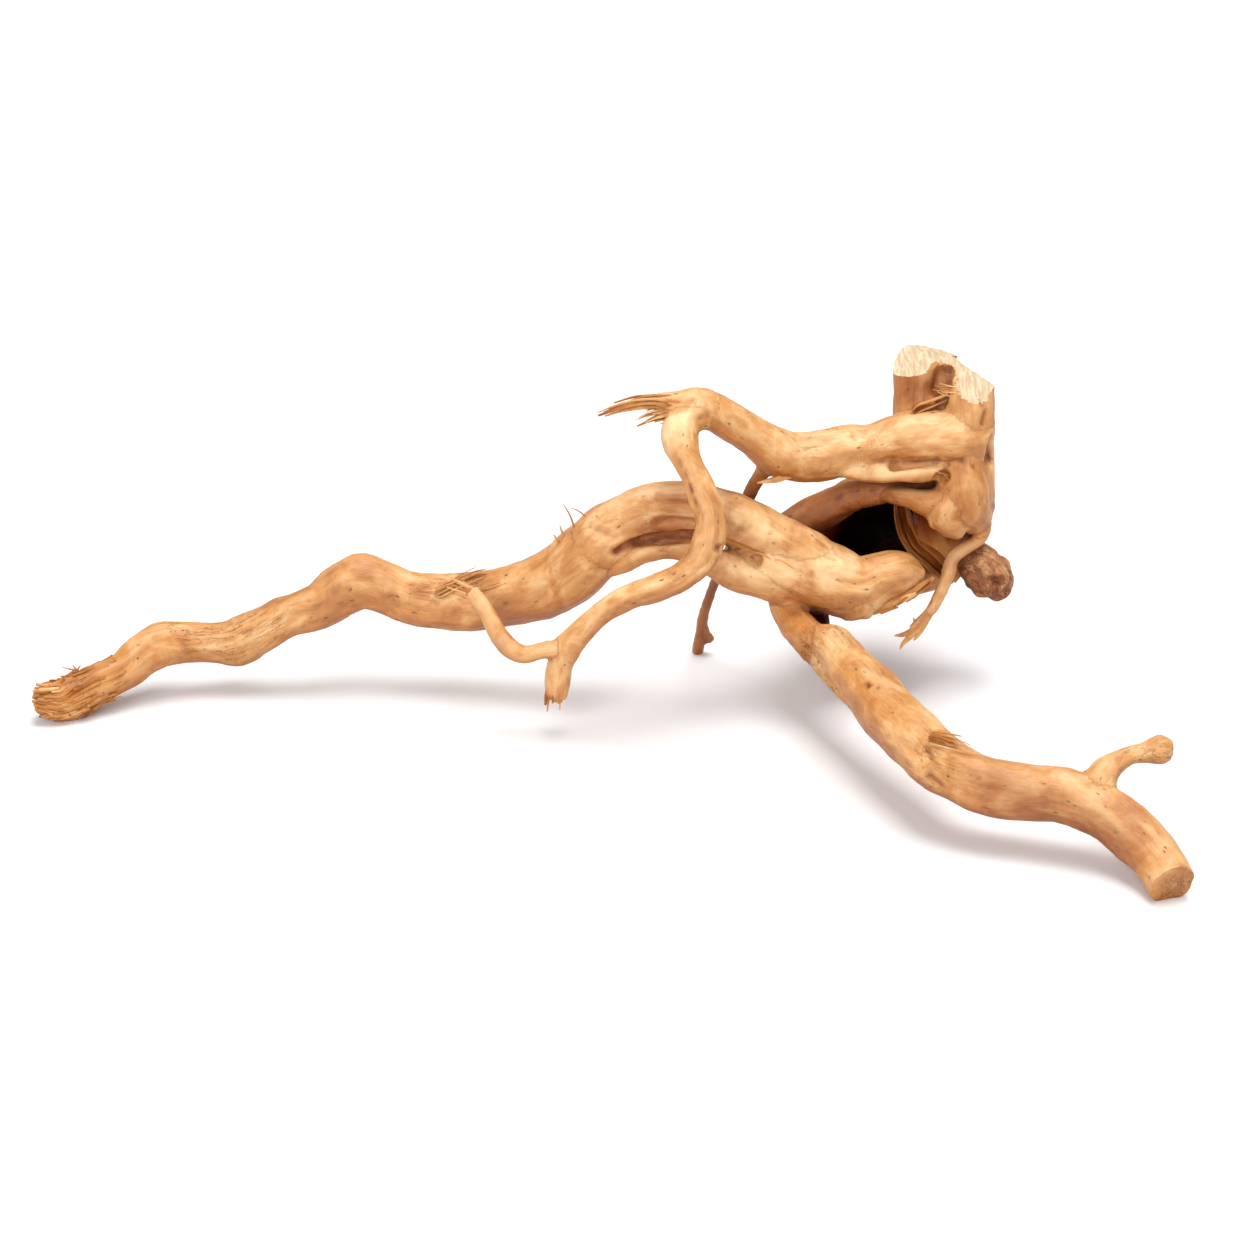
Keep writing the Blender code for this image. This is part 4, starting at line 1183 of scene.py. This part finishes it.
def add_tip_strips(shape, count, width):
    """Torn strips that cover the left tip, tied down at one end and lifted at the other."""
    draw = random.Random(7)
    rows = route(LIMBS["left_limb"], 2.0)
    for number in range(count):
        start = draw.uniform(0, 12) if number % 3 else draw.uniform(0, 4)
        length = draw.uniform(4, 11)
        turn = math.radians(draw.uniform(-80, 135))
        drift = math.radians(draw.uniform(-6, 6))
        tied = draw.random() < 0.7
        rise = draw.uniform(0.5, 1.9)
        wide = width * draw.uniform(0.45, 0.85)
        strip = []
        steps = max(5, round(length / 0.8))
        for step in range(steps):
            share = step / (steps - 1)
            free = 1 - share if tied else share
            wave = 0.45 * noise.noise(Vector((share * 3, number, 0)))
            point, out = surface_point(rows, start + length * share, turn + drift * share,
                                       -0.3 + rise * free ** 2 + wave)
            strip.append((*point, wide * (1 - 0.45 * (1 - free) ** 4)))
        lean = out.cross(Vector(strip[-1][:3]) - Vector(strip[-2][:3])).normalized()
        shape.tube(strip, 6, draw.uniform(0.45, 0.75), tuple(lean), tone=draw.uniform(0.56, 0.92),
                   jag=0.3)


def add_tip_stubs(shape, count):
    """Blunt fibre ends that stick out of the left tip's face."""
    draw = random.Random(11)
    for _ in range(count):
        turn = draw.uniform(0, 2 * math.pi)
        reach = math.sqrt(draw.random())
        y = TIP_MIDDLE[0] + TIP_HALF[0] * reach * math.cos(turn)
        z = TIP_MIDDLE[1] + TIP_HALF[1] * reach * math.sin(turn)
        end = -257.6 - draw.uniform(0, 2.2) + 2.6 * reach ** 2
        tilt = draw.uniform(-0.8, 0.8)
        rows = [(-246, y + 1.6, z, 0.9), (-250, y + 0.6, z, 0.9), (-254, y + tilt * 0.3, z, 0.85),
                (end, y - 0.4 + tilt, z + tilt, draw.uniform(0.5, 0.85))]
        shape.tube(route(rows, 2), 5, 0.8, tone=draw.uniform(0.6, 1.1), jag=0.2)


class DRIFTWOOD_OT_tip(bpy.types.Operator):
    """Fray the left tip into torn strips, blunt fibre ends and a small tuft"""

    bl_idname = "driftwood.tip"
    bl_label = "Frayed left tip"

    def execute(self, context):
        shape = Shape()
        strips = context.scene.driftwood_sizes.tip_strips
        add_tip_strips(shape, strips, half_width(context) * 1.5)
        add_tip_stubs(shape, TIP_STUBS)
        fray(context, "frayed_tip", shape)
        return {"FINISHED"}


class DRIFTWOOD_OT_torn_ends(bpy.types.Operator):
    """Fray the fork, the side twig, the hanging limb, the rootlet and the broken end"""

    bl_idname = "driftwood.torn_ends"
    bl_label = "Torn ends"

    def execute(self, context):
        for piece in ("torn_fork", "torn_side_twig", "torn_hanging_end", "torn_broken_end",
                      "torn_rootlet"):
            fray(context, piece)
        return {"FINISHED"}


class DRIFTWOOD_OT_sheets(bpy.types.Operator):
    """Layer thin dark sheets of wood down the side of the hub's bowl"""

    bl_idname = "driftwood.sheets"
    bl_label = "Layered sheets"

    def execute(self, context):
        draw = random.Random(31)
        shape = Shape()
        outer = np.array(OUTER_SHEET, float)
        inner = np.array(INNER_SHEET, float)
        for number in range(SHEETS):
            share = (number + draw.uniform(-0.3, 0.3)) / (SHEETS - 1)
            rows = route(outer * (1 - share) + inner * share, 2)
            for index, row in enumerate(rows):
                row[0] += 0.7 * noise.noise(Vector((index * 0.16, share * 9, 0)))
                row[1] += 1.2 * noise.noise(Vector((index * 0.12, share * 9, 5)))
                row[3] *= 0.85 + 0.35 * noise.noise(Vector((index * 0.3, share * 9, 9)))
            shape.tube(rows, 10, 0.07 + 0.04 * draw.random(), (0.35 - 0.25 * share, 0.9, 0.1),
                       tone=draw.uniform(0.25, 1.0), jag=0.08)
        rows = route(BOWL_WALL, 2)
        tones = np.interp(np.linspace(0, 1, len(rows)), *BOWL_WALL_SHADE)
        shape.tube(rows, 16, 0.14, (0.75, 0.65, 0.1), tone=tones)
        dress_fibres(shape, "bowl_sheets", context.scene.driftwood_colours)
        return {"FINISHED"}


class DRIFTWOOD_OT_curls(bpy.types.Operator):
    """Add the peeled strip on the front limb, the frayed knots, curls and hairs"""

    bl_idname = "driftwood.curls"
    bl_label = "Peelings, curls and hairs"

    def execute(self, context):
        for piece in ("frayed_knots", "stump_curls", "loose_hairs"):
            fray(context, piece)
        return {"FINISHED"}


class DRIFTWOOD_OT_stage(bpy.types.Operator):
    """Lay the pale floor, hang the soft lights and set the camera"""

    bl_idname = "driftwood.stage"
    bl_label = "Stage"

    def execute(self, context):
        scene = context.scene
        settings = scene.driftwood_stage
        mesh = bpy.data.meshes.new("floor")
        mesh.from_pydata([(-6, -6, 0), (6, -6, 0), (6, 10, 0), (-6, 10, 0)], [], [(0, 1, 2, 3)])
        floor = bpy.data.objects.new("floor", mesh)
        scene.collection.objects.link(floor)
        mesh.materials.append(floor_paint(tuple(settings.floor)))
        for name, place, power, size in LIGHTS:
            light = bpy.data.lights.new(name, "AREA")
            light.energy = getattr(settings, power)
            light.size = size
            lamp = bpy.data.objects.new(name, light)
            lamp.location = place
            aim = LIT_POINT - Vector(place)
            lamp.rotation_euler = aim.to_track_quat("-Z", "Y").to_euler()
            scene.collection.objects.link(lamp)
        world = bpy.data.worlds.new("soft_sky")
        world.use_nodes = True
        sky = world.node_tree.nodes["Background"]
        sky.inputs["Color"].default_value = (1, 1, 1, 1)
        sky.inputs["Strength"].default_value = settings.sky
        scene.world = world
        scene.view_settings.view_transform = "Standard"
        lens = bpy.data.cameras.new("camera")
        lens.sensor_fit = "HORIZONTAL"
        lens.sensor_width = SENSOR
        lens.lens = LENS
        camera = bpy.data.objects.new("camera", lens)
        camera.location = (CAMERA - ORIGIN) * MM
        camera.rotation_euler = (math.radians(CAMERA_TILT), 0, 0)
        scene.collection.objects.link(camera)
        scene.camera = camera
        return {"FINISHED"}


class DRIFTWOOD_PT_panel(bpy.types.Panel):
    """Lists the root's sizes, colours and steps"""

    bl_idname = "DRIFTWOOD_PT_panel"
    bl_label = "Driftwood root"
    bl_space_type = "VIEW_3D"
    bl_region_type = "UI"
    bl_category = "Driftwood"

    def draw(self, context):
        for group in GROUPS:
            settings = getattr(context.scene, group)
            box = self.layout.box()
            for name in settings.bl_rna.properties.keys():
                if name not in {"rna_type", "name"}:
                    box.prop(settings, name)
        for step in STEPS:
            self.layout.operator(step.bl_idname)


STEPS = (
    DRIFTWOOD_OT_wood, DRIFTWOOD_OT_tip, DRIFTWOOD_OT_torn_ends, DRIFTWOOD_OT_sheets,
    DRIFTWOOD_OT_curls, DRIFTWOOD_OT_stage,
)
GROUPS = {
    "driftwood_sizes": RootSizes, "driftwood_colours": WoodColours,
    "driftwood_stage": StageSettings,
}
CLASSES = (*GROUPS.values(), *STEPS, DRIFTWOOD_PT_panel)


def register():
    for each in CLASSES:
        bpy.utils.register_class(each)
    for name, group in GROUPS.items():
        setattr(bpy.types.Scene, name, PointerProperty(type=group))


def unregister():
    for name in GROUPS:
        delattr(bpy.types.Scene, name)
    for each in reversed(CLASSES):
        bpy.utils.unregister_class(each)


def main():
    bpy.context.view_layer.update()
    register()
    bpy.ops.driftwood.wood()
    bpy.ops.driftwood.tip()
    bpy.ops.driftwood.torn_ends()
    bpy.ops.driftwood.sheets()
    bpy.ops.driftwood.curls()
    bpy.ops.driftwood.stage()


if __name__ == "__main__":
    main()
